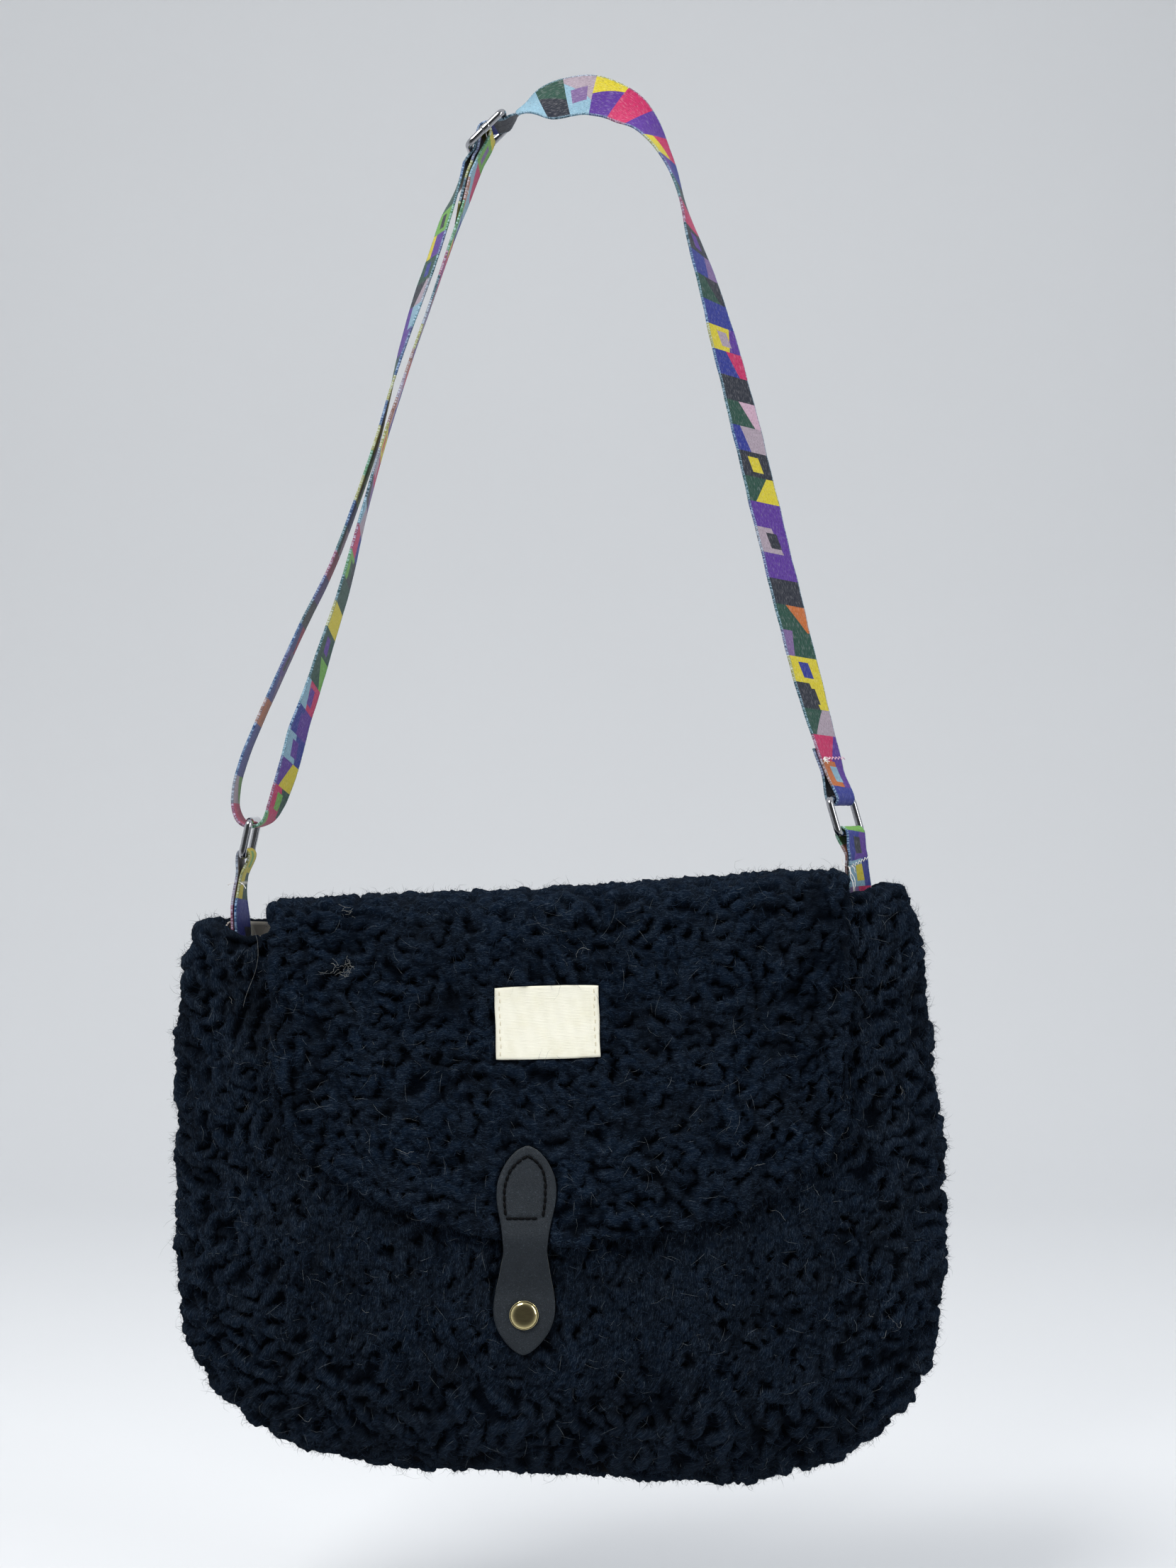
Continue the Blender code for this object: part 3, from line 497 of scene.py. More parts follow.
def plain(name, colour, rough=0.9):
    n = Nodes(name)
    tone = n.noise(n.place(), 1.6, 2)
    c = n.mix(n.grade(tone, 0.3, 0.7), colour, tuple(v * 0.985 for v in colour))
    return n.done(c, rough, 0.0, Specular_IOR_Level=0.1)


# black pile: its colour with painted shade for the hollows, then with painted light for the tops, then its paler fibre
# strokes
WOOL_BODY = wool("black_curly_wool", (0.0018, 0.0034, 0.0066), (0.0050, 0.0102, 0.0206), (0.036, 0.050, 0.070))
WOOL_FLAP = wool("black_curly_wool_flap", (0.0016, 0.0033, 0.0068), (0.0043, 0.0098, 0.0210), (0.033, 0.048, 0.070))
HAIR = fibre("dark_wool_fibre", (0.0090, 0.0150, 0.0255), 3.2)
PALE_HAIR = fibre("pale_wool_fibre", (0.075, 0.084, 0.092), 2.4)
STRAY = fibre("stray_pale_thread", (0.15, 0.155, 0.155), 1.8)
BACK_CLOTH = backing("black_backing", (0.0006, 0.0010, 0.0020))
LINING_MAT = lining_cloth("grey_beige_lining", (0.46, 0.43, 0.38))
HEM_MAT = lining_cloth("white_hem", (0.82, 0.80, 0.76))
CREAM = tape_cloth("cream_label", (0.72, 0.705, 0.60))
LEATHER = leather("dark_leather", (0.0165, 0.0215, 0.0275))
# the tab's cut edge and back: raw leather paler than the face, made lighter still as painted light for the lit cut edge
LEATHER_EDGE_WITH_PAINTED_LIGHT = raw_edge("leather_edge_with_painted_light", (0.105, 0.112, 0.104))
BRASS = metal("polished_brass", (0.78, 0.66, 0.33), 0.07, (0.62, 0.50, 0.26))
NICKEL = metal("dark_nickel", (0.46, 0.46, 0.475), 0.07, (0.34, 0.34, 0.35))
PRINT = webbing_print("printed_webbing", 5.0)
PRINT_TABS = webbing_print("printed_webbing_tabs", 21.0)
WHITE_THREAD = sewing("white_thread", (0.80, 0.79, 0.76))
CREAM_THREAD = sewing("cream_thread", (0.66, 0.60, 0.44))
BLACK_THREAD = sewing("black_thread", (0.0012, 0.0014, 0.0020), 0.10)
PINK_THREAD = sewing("pink_thread", (0.66, 0.40, 0.50))


def carried(ob, nodes=()):
    """Rides on the bag and stands for its CAD nodes."""
    if nodes:
        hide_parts(*nodes)
    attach(ob, "root")
    return ob


# ------------------------------------------------------------------ the pouch, as in the CAD

GAP = 0.3
MIDDLE, WALL, LINING = -68.0, 8.0, 1.2
SECTIONS = [
    dict(down=0.00, left=-193, right=158, front=27, back=27, square=9.0),
    dict(down=0.05, left=-200, right=163, front=28, back=27, square=7.5),
    dict(down=0.15, left=-206, right=168, front=29, back=28, square=5.5),
    dict(down=0.30, left=-207, right=173, front=32, back=29, square=4.2),
    dict(down=0.47, left=-207, right=179, front=35, back=31, square=3.7),
    dict(down=0.62, left=-207, right=179, front=39, back=33, square=3.4),
    dict(down=0.74, left=-205, right=175, front=40, back=33, square=3.2),
    dict(down=0.84, left=-194, right=164, front=37, back=31, square=3.2),
    dict(down=0.92, left=-174, right=143, front=31, back=27, square=3.2),
    dict(down=0.97, left=-147, right=115, front=23, back=21, square=3.2),
    dict(down=1.00, left=-112, right=84, front=12, back=12, square=3.2),
]
SECTION = {k: eased(SECTIONS, "down", k) for k in ("left", "right", "front", "back", "square")}
RIM_LEFT, RIM_RIGHT, RIM_SAG = -440.0, -422.0, 10.0
BOTTOM_LEFT, BOTTOM_RIGHT = -713.0, -722.0
DIP, DIP_AT, DIP_WIDE = 6.0, -170.0, 15.0


def rim(x):
    u = np.clip((x + 193.0) / 351.0, 0, 1)
    return RIM_LEFT + (RIM_RIGHT - RIM_LEFT) * u - RIM_SAG * np.sin(np.pi * u)


def floor(x):
    return BOTTOM_LEFT + (BOTTOM_RIGHT - BOTTOM_LEFT) * (x + 112.0) / 196.0


def height(x, y, down):
    front = np.clip((MIDDLE - y) / 12.0, 0, 1)
    droop = DIP * front * np.exp(-(((x - DIP_AT) / DIP_WIDE) ** 2))
    return rim(x) * (1 - down) + floor(x) * down - droop * max(0.0, 1 - down / 0.2)


def half_loop(a, b, square, count):
    t = np.linspace(0, math.pi, 1501)
    x = a * np.sign(np.cos(t)) * np.abs(np.cos(t)) ** (2 / square)
    y = b * np.abs(np.sin(t)) ** (2 / square)
    run = np.hypot(np.diff(x), np.diff(y))
    way = np.unwrap(np.arctan2(np.diff(y), np.diff(x)))
    turned = np.abs(np.diff(way, prepend=way[0]))
    along = np.concatenate([[0], np.cumsum(run / (2 * a) + turned / math.pi * 0.9)])
    at = np.interp(np.linspace(0, along[-1], count), along, t)
    return (
        a * np.sign(np.cos(at)) * np.abs(np.cos(at)) ** (2 / square),
        b * np.abs(np.sin(at)) ** (2 / square),
    )


HALF = 71


def loop(down, inset, drop=0.0, pinch=1.0):
    """A closed loop of the pouch's section: front half from right to left, then the back half."""
    left, right = SECTION["left"](down) + inset, SECTION["right"](down) - inset
    a, middle = (right - left) / 2, (right + left) / 2
    halves = []
    for side, name in ((-1, "front"), (1, "back")):
        x, y = half_loop(a, SECTION[name](down) - inset, SECTION["square"](down), HALF)
        half = np.stack([middle + x, MIDDLE + side * y * pinch], -1)
        halves.append(half if side < 0 else half[::-1][1:-1])
    xy = np.concatenate(halves)
    z = height(xy[:, 0], xy[:, 1], down) - drop
    return np.column_stack([xy, z])


def share_down(x, z):
    return (z - rim(x)) / (floor(x) - rim(x))


def body_front(x, z):
    d = np.clip(share_down(x, z), 0, 0.999)
    left, right = SECTION["left"](d), SECTION["right"](d)
    reach = np.abs((x - (left + right) / 2) / ((right - left) / 2))
    n = SECTION["square"](d)
    return MIDDLE - SECTION["front"](d) * np.maximum(0.0, 1 - reach**n) ** (1 / n)


FLAP_THICK = 7.4
FLAP_LEFT, FLAP_RIGHT = -156.0, 126.0
FLAP_OFF = 2.0
FLAP_RISE, FLAP_RISE_ENDS, FLAP_LEAD = 15.5, 10.5, 2.0
SHIELD_SIDE, SHIELD_DEEP, SHIELD_LEAN = -525.0, 68.0, 4.0


def flap_middle(x, z):
    return body_front(x, z) - FLAP_OFF - FLAP_THICK / 2


def flap_face(x, z):
    return flap_middle(x, z) - FLAP_THICK / 2


def shield_end(x):
    u = (x - (FLAP_LEFT + FLAP_RIGHT) / 2) / ((FLAP_RIGHT - FLAP_LEFT) / 2)
    deep = SHIELD_DEEP * np.maximum(0.0, 1 - np.abs(u) ** 1.75) ** (1 / 1.75)
    return SHIELD_SIDE - deep - SHIELD_LEAN * u


def flap_grid(columns, arch, front):
    """Mid-surface of the flap: columns across, each up from the back rim, over the mouth and down the front."""
    out = []
    for i in range(columns):
        s = -1 + 2 * i / (columns - 1)
        u = math.sin(s * math.pi / 2) * 0.35 + s * 0.65
        x = (FLAP_LEFT + FLAP_RIGHT) / 2 + u * (FLAP_RIGHT - FLAP_LEFT) / 2
        top = float(rim(x))
        rise = FLAP_RISE + (FLAP_RISE_ENDS - FLAP_RISE) * abs(u) ** 3 - FLAP_THICK / 2 - FLAP_LEAD
        back = MIDDLE + float(SECTION["back"](0.0)) - WALL / 2
        face = float(flap_middle(x, top))
        middle, half = (back + face) / 2, (back - face) / 2
        a = np.pi * np.arange(arch) / arch
        y = middle + half * np.sign(np.cos(a)) * np.abs(np.cos(a)) ** (2 / 3.2)
        lead = FLAP_LEAD * np.where(y > middle, 1.0, np.sin(a) ** 0.6)
        z = top + lead + rise * np.sin(a) ** (2 / 3.2)
        z = np.where(a == 0, top + FLAP_LEAD, z)
        down = np.linspace(top, float(shield_end(x)), front + 1)
        column = [(x, back, top + GAP + 0.1)]
        column += [(x, yy, zz) for yy, zz in zip(y, z)]
        column += [(x, float(flap_middle(x, zz)), zz) for zz in down]
        out.append(column)
    return np.array(out)


def grid_normals(g):
    n = np.cross(np.gradient(g, axis=0), np.gradient(g, axis=1))
    return units(n)


# ------------------------------------------------------------------ closure tab's outline, as in the CAD

TAB_TOP_X, TAB_TOP_Z, TAB_BOTTOM_X, TAB_THICK, TAB_LONG = -30.4, -548.5, -32.6, 2.2, 103.5
TAB_SHAPE = [
    dict(down=0.0, half=0.8),
    dict(down=1.6, half=4.2),
    dict(down=3.4, half=6.4),
    dict(down=7.0, half=9.6),
    dict(down=10.5, half=11.7),
    dict(down=14.0, half=13.3),
    dict(down=18.0, half=14.4),
    dict(down=24.0, half=14.7),
    dict(down=30.0, half=14.0),
    dict(down=36.0, half=12.7),
    dict(down=43.0, half=11.5),
    dict(down=52.0, half=10.8),
    dict(down=59.0, half=11.8),
    dict(down=66.0, half=13.0),
    dict(down=73.0, half=14.5),
    dict(down=80.5, half=15.3),
    dict(down=84.0, half=15.1),
    dict(down=88.0, half=14.2),
    dict(down=92.0, half=12.5),
    dict(down=95.0, half=10.6),
    dict(down=98.3, half=8.0),
    dict(down=101.1, half=5.0),
    dict(down=102.9, half=2.2),
    dict(down=103.5, half=0.8),
]
TAB_HALF = eased(TAB_SHAPE, "down", "half")
SNAP_DOWN, SNAP_R, SNAP_HIGH = 83.7, 7.2, 2.9
LABEL_X, LABEL_Z, LABEL_WIDE, LABEL_HIGH = -20.7, -488.0, 51.5, 35.5
LABEL_TILT = math.radians(1.6)


def tab_mid(down):
    s = down / TAB_LONG
    x, z = TAB_TOP_X + (TAB_BOTTOM_X - TAB_TOP_X) * s, TAB_TOP_Z - down
    edge = shield_end(x)
    on_flap = flap_face(x, np.maximum(z, edge)) - GAP - 0.6 - TAB_THICK / 2
    on_body = body_front(x, z) - GAP - 0.6 - TAB_THICK / 2
    blend = smooth_step(0.0, 30.0, edge - 1.5 - z)
    return np.array([float(x), float(np.minimum(on_body, on_flap * (1 - blend) + on_body * blend)), float(z)])


# ------------------------------------------------------------------ what presses the pile down


def under_label(p):
    """How far inside the label's outline a point lies, in millimetres, seen from the front."""
    x, z = p[..., 0] - LABEL_X, p[..., 2] - LABEL_Z
    a = x * math.cos(LABEL_TILT) + z * math.sin(LABEL_TILT)
    b = -x * math.sin(LABEL_TILT) + z * math.cos(LABEL_TILT)
    return np.minimum(LABEL_WIDE / 2 - np.abs(a), LABEL_HIGH / 2 - np.abs(b))


def under_tab(p):
    down = TAB_TOP_Z - p[..., 2]
    x = TAB_TOP_X + (TAB_BOTTOM_X - TAB_TOP_X) * down / TAB_LONG
    half = TAB_HALF(np.clip(down, 0, TAB_LONG))
    inside = half - np.abs(p[..., 0] - x)
    return np.minimum(inside, np.minimum(down, TAB_LONG - down))


def under_flap(p):
    """How far inside the flap's outline a point of the front wall lies."""
    x, z = p[..., 0], p[..., 2]
    side = np.minimum(x - FLAP_LEFT, FLAP_RIGHT - x)
    low = (z - shield_end(np.clip(x, FLAP_LEFT, FLAP_RIGHT))) * 0.8
    return np.where(p[..., 1] < MIDDLE, np.minimum(side, low), -99.0)


# ------------------------------------------------------------------ curly pile


class Surface:
    """A grid of points that pile grows on, with the normals that point out of the bag."""

    def __init__(self, grid, inside, closed=False):
        self.grid = grid
        wide = np.concatenate([grid[:, -2:], grid, grid[:, :2]], 1) if closed else grid
        n = grid_normals(wide)
        self.normal = n[:, 2:-2] if closed else n
        if ((grid - inside) * self.normal).sum(-1).mean() < 0:
            self.normal = -self.normal
        self.points, self.normals = grid.reshape(-1, 3), self.normal.reshape(-1, 3)
        q = grid_quads(*grid.shape[:2], closed)
        self.tris = np.concatenate([q[:, [0, 1, 2]], q[:, [0, 2, 3]]])
        a, b, c = (self.points[self.tris[:, k]] for k in range(3))
        self.area = np.linalg.norm(np.cross(b - a, c - a), axis=1) / 2
        self.tree = BVHTree.FromPolygons([Vector(p) for p in self.points], self.tris.tolist(), epsilon=0.0)

    def sample(self, count, r):
        k = r.choice(len(self.tris), count, p=self.area / self.area.sum())
        u, v = r.random(count), r.random(count)
        over = u + v > 1
        u[over], v[over] = 1 - u[over], 1 - v[over]
        w = np.stack([1 - u - v, u, v], -1)[..., None]
        t = self.tris[k]
        return (self.points[t] * w).sum(1), units((self.normals[t] * w).sum(1))

    def nearest(self, p):
        flat = p.reshape(-1, 3)
        out = np.array([self.tree.find_nearest(Vector(q))[0] for q in flat])
        return out.reshape(p.shape)


def scatter(surface, count, way, along, across, keep, seed, larger):
    """Places for rolls of pile, no two closer than `along` end to end or `across` side by side, times the size that
    larger(points, normals) gives. way(points, normals, rng) gives each its direction."""
    r = np.random.default_rng(seed)
    p, n = surface.sample(count, r)
    ok = keep(p, n)
    p, n = p[ok], n[ok]
    t = way(p, n, r)
    t = units(t - n * (t * n).sum(-1, keepdims=True))
    size = (0.84 + 0.34 * r.random(len(p))) * larger(p, n)
    kept, cells, cell = np.zeros(len(p), bool), {}, along * 1.2
    keys = np.floor(p / cell).astype(int)
    near_cells = [(a, b, c) for a in (-1, 0, 1) for b in (-1, 0, 1) for c in (-1, 0, 1)]
    for i in range(len(p)):
        x, y, z = keys[i]
        near = [j for a, b, c in near_cells for j in cells.get((x + a, y + b, z + c), ())]
        if near:
            d = p[near] - p[i]
            a = d @ t[i]
            rest = np.linalg.norm(d - a[:, None] * t[i], axis=1)
            if ((a / along) ** 2 + (rest / across) ** 2 < size[i] ** 2).any():
                continue
        kept[i] = True
        cells.setdefault((x, y, z), []).append(i)
    return p[kept], n[kept], t[kept], size[kept]


class Fur:
    """Height of the pile over a surface: a soft union of rolls that lie on it, some over others."""

    def __init__(self, surface, base, blend):
        self.surface, self.blend = surface, blend
        p = surface.points
        wave = np.stack([lumps(p, 101 + k, 8.5) for k in range(3)], -1)
        self.at = p + wave * 0.85
        self.total = np.full(len(p), math.exp(base / blend))
        self.first, self.second = np.full(len(p), 1.3), np.full(len(p), 1.3)
        self.cell = 9.0
        key = np.floor(self.at / self.cell).astype(np.int64) + 500
        self.code = (key[:, 0] * 1000 + key[:, 1]) * 1000 + key[:, 2]
        self.order = np.argsort(self.code, kind="stable")
        self.sorted = self.code[self.order]

    def near(self, low, high):
        low, high = (np.floor(v / self.cell).astype(np.int64) + 500 for v in (low, high))
        out = []
        for i in range(low[0], high[0] + 1):
            for j in range(low[1], high[1] + 1):
                first = (i * 1000 + j) * 1000
                a, b = np.searchsorted(self.sorted, (first + low[2], first + high[2] + 1))
                if b > a:
                    out.append(self.order[a:b])
        return np.concatenate(out) if out else np.empty(0, int)

    def add(self, places, long, thick, top, seed):
        r = np.random.default_rng(seed)
        p, n, t, size = places
        count = len(p)
        s = np.linspace(-1, 1, 7)
        b = np.cross(n, t)
        length = long * size * (0.75 + 0.5 * r.random(count))
        radius = thick * (0.86 + 0.3 * r.random(count)) * size
        bend, snake = r.normal(0, 0.19, count) * length, r.normal(0, 0.12, count) * length
        phase = r.random(count) * 6.3
        a = s[None] * length[:, None] / 2
        side = bend[:, None] * (s**2 - 0.35) + snake[:, None] * np.sin(3.0 * s[None] + phase[:, None])
        q = self.surface.nearest(p[:, None] + t[:, None] * a[..., None] + b[:, None] * side[..., None])
        high = top + np.clip(r.normal(0, 0.85, count), -2.0, 1.5)
        slope = r.normal(0, 0.55, count)
        for i in range(count):
            reach = radius[i] * 1.3
            v = self.near(q[i].min(0) - reach, q[i].max(0) + reach)
            if not len(v):
                continue
            x = self.at[v]
            best, share = np.full(len(v), 1e9), np.zeros(len(v))
            for k in range(len(s) - 1):
                u = q[i, k + 1] - q[i, k]
                f = np.clip(((x - q[i, k]) @ u) / max(u @ u, 1e-9), 0, 1)
                d = np.linalg.norm(x - q[i, k] - f[:, None] * u, axis=1)
                closer = d < best
                best = np.where(closer, d, best)
                share = np.where(closer, s[k] + (s[k + 1] - s[k]) * f, share)
            best = best / radius[i]
            around = best < 1.3
            u, near_ = v[around], best[around]
            was = self.first[u]
            self.second[u] = np.where(near_ < was, was, np.minimum(self.second[u], near_))
            self.first[u] = np.minimum(was, near_)
            inside = best < 1.0
            v, best, share = v[inside], best[inside], share[inside]
            crown = high[i] + slope[i] * share - 1.1 * share**4
            ridge = 0.22 * np.cos(share * 5.5 + phase[i] * 2)
            h = crown + ridge * (1 - best) - radius[i] * 0.98 * (1 - np.sqrt(1 - best**2))
            self.total[v] += np.exp(h / self.blend)

    def parting(self):
        """1 well within a roll, down to 0 along the line where it meets its neighbour; a groove is cut there, and skin
        paints shade along it by the rise attribute.
        """
        return smooth_step(0.02, 0.42, self.second - self.first)

    def height(self):
        return self.blend * np.log(self.total) - 1.0 * (1 - self.parting())


def skin(name, surface, high, keep_face, mat, parting, sink=None):
    """The pile's outer surface as a mesh; keep_face says which quads show. Returns the object, with its rise attribute
    for the wool's painted shade and painted light, and its points and normals.
    """
    g, n = surface.grid, surface.normal
    rows, cols = g.shape[:2]
    high = high.reshape(rows, cols)
    if sink is not None:
        high = high - sink
    p = g + n * high[..., None]
    side = np.stack([lumps(surface.points, 111 + k, 5.2) for k in range(3)], -1).reshape(g.shape)
    p = p + side * 0.28
    du = np.concatenate([np.zeros((rows, 1)), np.cumsum(np.linalg.norm(np.diff(g, axis=1), axis=2), 1)], 1)
    dv = np.concatenate([np.zeros((1, cols)), np.cumsum(np.linalg.norm(np.diff(g, axis=0), axis=2), 0)], 0)
    q = grid_quads(rows, cols)
    flat = p.reshape(-1, 3)
    q = q[keep_face(g.reshape(-1, 3)[q].mean(1))]
    normal = grid_normals(p)
    if (normal * n).sum() < 0:
        normal = -normal
        q = q[:, ::-1]
    a, b, c, d = (flat[q[:, k]] for k in range(4))
    if (np.cross(c - a, d - b) * normal.reshape(-1, 3)[q[:, 0]]).sum() < 0:
        q = q[:, ::-1]
    used = np.unique(q)
    back = np.full(rows * cols, -1)
    back[used] = np.arange(len(used))
    uv = np.stack([du, dv], -1).reshape(-1, 2)[used]
    ob = build(name, flat[used], back[q], mat, uv=uv)
    # rise: 0 in the hollows and along the lines where rolls part, up to 1 on the tops; the wool paints shade and light
    # into its colour after it
    rise = (smooth_step(-1.6, 3.3, high).reshape(-1) * (0.40 + 0.60 * parting))[used]
    layer = ob.data.attributes.new("rise", "FLOAT", "POINT")
    layer.data.foreach_set("value", rise.astype(np.float32))
    a, b, c = (flat[q[:, k]] for k in (0, 1, 2))
    area_ = np.linalg.norm(np.cross(b - a, c - a), axis=1)
    return ob, dict(points=flat, normals=normal.reshape(-1, 3), quads=q, area=area_, high=high.reshape(-1))


def roots(made, count, seed, low=-1.5, rim_share=0.0):
    """Random places on the pile, more of them on its tops and, by rim_share, where the bag turns away from the front."""
    r = np.random.default_rng(seed)
    weight = made["area"] * smooth_step(low, 1.2, made["high"][made["quads"]].mean(1))
    turned = 1 - np.abs(made["normals"][made["quads"][:, 0], 1])
    weight = weight * (1 + rim_share * smooth_step(0.45, 0.9, turned))
    k = r.choice(len(weight), count, p=weight / weight.sum())
    q = made["quads"][k]
    w = r.random((count, 4, 1))
    w = w / w.sum(1, keepdims=True)
    return (made["points"][q] * w).sum(1), units((made["normals"][q] * w).sum(1))


def lying(name, at_, normals, shortest, longest, thick, mat, seed, bends=2):
    """Fine curved fibres that lie on the pile: closed three-sided threads with a point."""
    r = np.random.default_rng(seed)
    count = len(at_)
    long = (shortest + (longest - shortest) * r.random(count) ** 1.7)[:, None]
    d = units(r.normal(size=(count, 3)))
    d = units(d - normals * (d * normals).sum(-1, keepdims=True))
    o = np.cross(normals, d)
    curl = r.normal(0, 0.42, (count, 1))
    lift = 0.10 + 0.5 * r.random((count, 1)) ** 2
    fall = r.normal(0.0, 0.16, (count, 1))
    rings = []
    for s, w in ((0.0, 0.8), (0.36, 1.0), (0.72, 0.8)) if bends == 2 else ((0.0, 0.8), (0.52, 1.0)):
        c = at_ + d * long * s + o * long * curl * s**2 + normals * (-0.25 + lift * long * 4 * s * (1 - s) * 0.6 + fall * long * s**2)
        rings.append((c, w))
    s = 1.0
    tip = at_ + d * long * (1 - 0.2 * np.abs(curl)) + o * long * curl * 1.15 + normals * (-0.1 + fall * long)
    tri = np.stack([o, -0.5 * o + 0.87 * normals, -0.5 * o - 0.87 * normals], 1) * thick * (0.75 + 0.5 * r.random((count, 1, 1)))
    points = np.concatenate([c[:, None] + tri * w for c, w in rings] + [tip[:, None]], 1)
    tris, last = [(0, 2, 1)], 3 * bends
    for k in range(0, last, 3):
        for i in range(3):
            j = (i + 1) % 3
            tris += [(k + i, k + j, k + 3 + j), (k + i, k + 3 + j, k + 3 + i)]
    tris += [(last, last + 1, last + 3), (last + 1, last + 2, last + 3), (last + 2, last, last + 3)]
    faces = (np.array(tris)[None] + (np.arange(count) * (last + 4))[:, None, None]).reshape(-1, 3)
    return build(name, points.reshape(-1, 3), outward(points.reshape(-1, 3), faces), mat)


def standing(name, at_, normals, shortest, longest, thick, mat, seed):
    """Fine loose fibres that stand off the pile, each with a bend."""
    r = np.random.default_rng(seed)
    count = len(at_)
    long = (shortest + (longest - shortest) * r.random(count) ** 2.4)[:, None]
    d = units(r.normal(size=(count, 3)))
    d = units(d - normals * (d * normals).sum(-1, keepdims=True))
    o = np.cross(normals, d)
    tilt = 0.5 + 0.9 * r.random((count, 1))
    base = at_ - normals * 0.4
    mid = at_ + normals * long * 0.42 + d * long * 0.30 * tilt + o * long * r.normal(0, 0.12, (count, 1))
    tip = at_ + normals * long * (0.55 + 0.25 * r.random((count, 1))) + d * long * 0.75 * tilt + o * long * r.normal(0, 0.3, (count, 1))
    tri = np.stack([d, -0.5 * d + 0.87 * o, -0.5 * d - 0.87 * o], 1) * thick
    points = np.concatenate([base[:, None] + tri, mid[:, None] + tri * 0.8, tip[:, None]], 1)
    tris = [(0, 2, 1)]
    for i in range(3):
        j = (i + 1) % 3
        tris += [(i, j, 3 + j), (i, 3 + j, 3 + i), (3 + i, 3 + j, 6)]
    faces = (np.array(tris)[None] + (np.arange(count) * 7)[:, None, None]).reshape(-1, 3)
    return build(name, points.reshape(-1, 3), outward(points.reshape(-1, 3), faces), mat)


# ------------------------------------------------------------------ pouch cloth

SKIN = 4.4  # the cloth's face lies this far under the pile's mean height


def pouch_cloth():
    outer_rows = np.concatenate([np.linspace(0, 0.9, 46), np.linspace(0.915, 1.0, 14)])
    inner_rows = np.concatenate([np.linspace(0, 0.9, 30), [0.92, 0.94, 0.955, 0.965]])
    outer = [loop(float(d), SKIN, drop=2.6 if i == 0 else 0.6) for i, d in enumerate(outer_rows)]
    top = [loop(0.0, SKIN + 0.8, drop=2.0), loop(0.0, WALL - 0.8, drop=2.0)]
    inner = [loop(float(d), WALL, drop=2.4 if i == 0 else 0.0) for i, d in enumerate(inner_rows)]
    loops = outer[::-1] + top + inner
    n = len(loops[0])
    close_out = [loop(1.0, SKIN, pinch=k, drop=-1.5) for k in (0.66, 0.33)]
    close_in = [loop(0.965, WALL, pinch=k, drop=0.8 * (1 - k * k)) for k in (0.66, 0.33)]
    loops = close_out[::-1] + loops + close_in
    points = np.concatenate(loops)
    quads = grid_quads(len(loops), n, closed=True)
    ends = []
    for start in (0, (len(loops) - 1) * n):
        half = n // 2
        for i in range(half):
            a, b, c, d = start + i, start + i + 1, start + (n - i - 1) % n, start + (n - i) % n
            if i == 0:
                ends.append((a, b, c, c))
            elif i == half - 1:
                ends.append((a, b, d, d))
            else:
                ends.append((a, b, c, d))
    ends = np.array(ends)
    flat = ends[:, 2] == ends[:, 3]
    faces = outward(points, [quads, ends[~flat], ends[flat][:, :3]])
    first_inner = (len(close_out) + len(outer) + len(top)) * n
    slots = [(f.min(1) >= first_inner - n).astype(int) for f in faces]
    ob = build("pouch_cloth", points, faces, [BACK_CLOTH, LINING_MAT], slots=np.concatenate(slots))
    return carried(ob, ["bag_body"])


def half_section(down, side, fractions, inset=0.0, drop=0.0, pinch=1.0):
    """Points of the front (side -1) or back (side 1) half of the section at even shares of its length, from right to left."""
    left, right = SECTION["left"](down) + inset, SECTION["right"](down) - inset
    a, middle = (right - left) / 2, (right + left) / 2
    deep = SECTION["front" if side < 0 else "back"](down) - inset
    square = SECTION["square"](down)
    t = np.linspace(0, math.pi, 1201)
    t = t - np.sin(2 * t) * 0.42  # closer steps where the section turns
    x = a * np.sign(np.cos(t)) * np.abs(np.cos(t)) ** (2 / square)
    y = deep * np.abs(np.sin(t)) ** (2 / square)
    key = np.concatenate([[0], np.cumsum(np.hypot(np.diff(x), np.diff(y)))])
    f = np.asarray(fractions) * key[-1]
    x, y = middle + np.interp(f, key, x), MIDDLE + side * np.interp(f, key, y) * pinch
    z = height(x, y, down) - drop
    return np.column_stack([x, y, z])


def down_steps(step):
    """Shares of the way down with steps of at most `step` millimetres along the middle and the two sides."""
    d = np.linspace(0, 1, 801)
    lines = [
        np.column_stack([SECTION["left"](d), -440 - 275 * d]),
        np.column_stack([SECTION["right"](d), -422 - 300 * d]),
        np.column_stack([SECTION["front"](d) * 1.6, -440 - 280 * d]),
    ]
    run_ = np.max([np.linalg.norm(np.diff(v, axis=0), axis=1) for v in lines], axis=0)
    key = np.concatenate([[0], np.cumsum(run_)])
    return np.interp(np.linspace(0, key[-1], int(key[-1] / step) + 1), key, d)


INSIDE = np.array([-14.0, MIDDLE, -570.0])


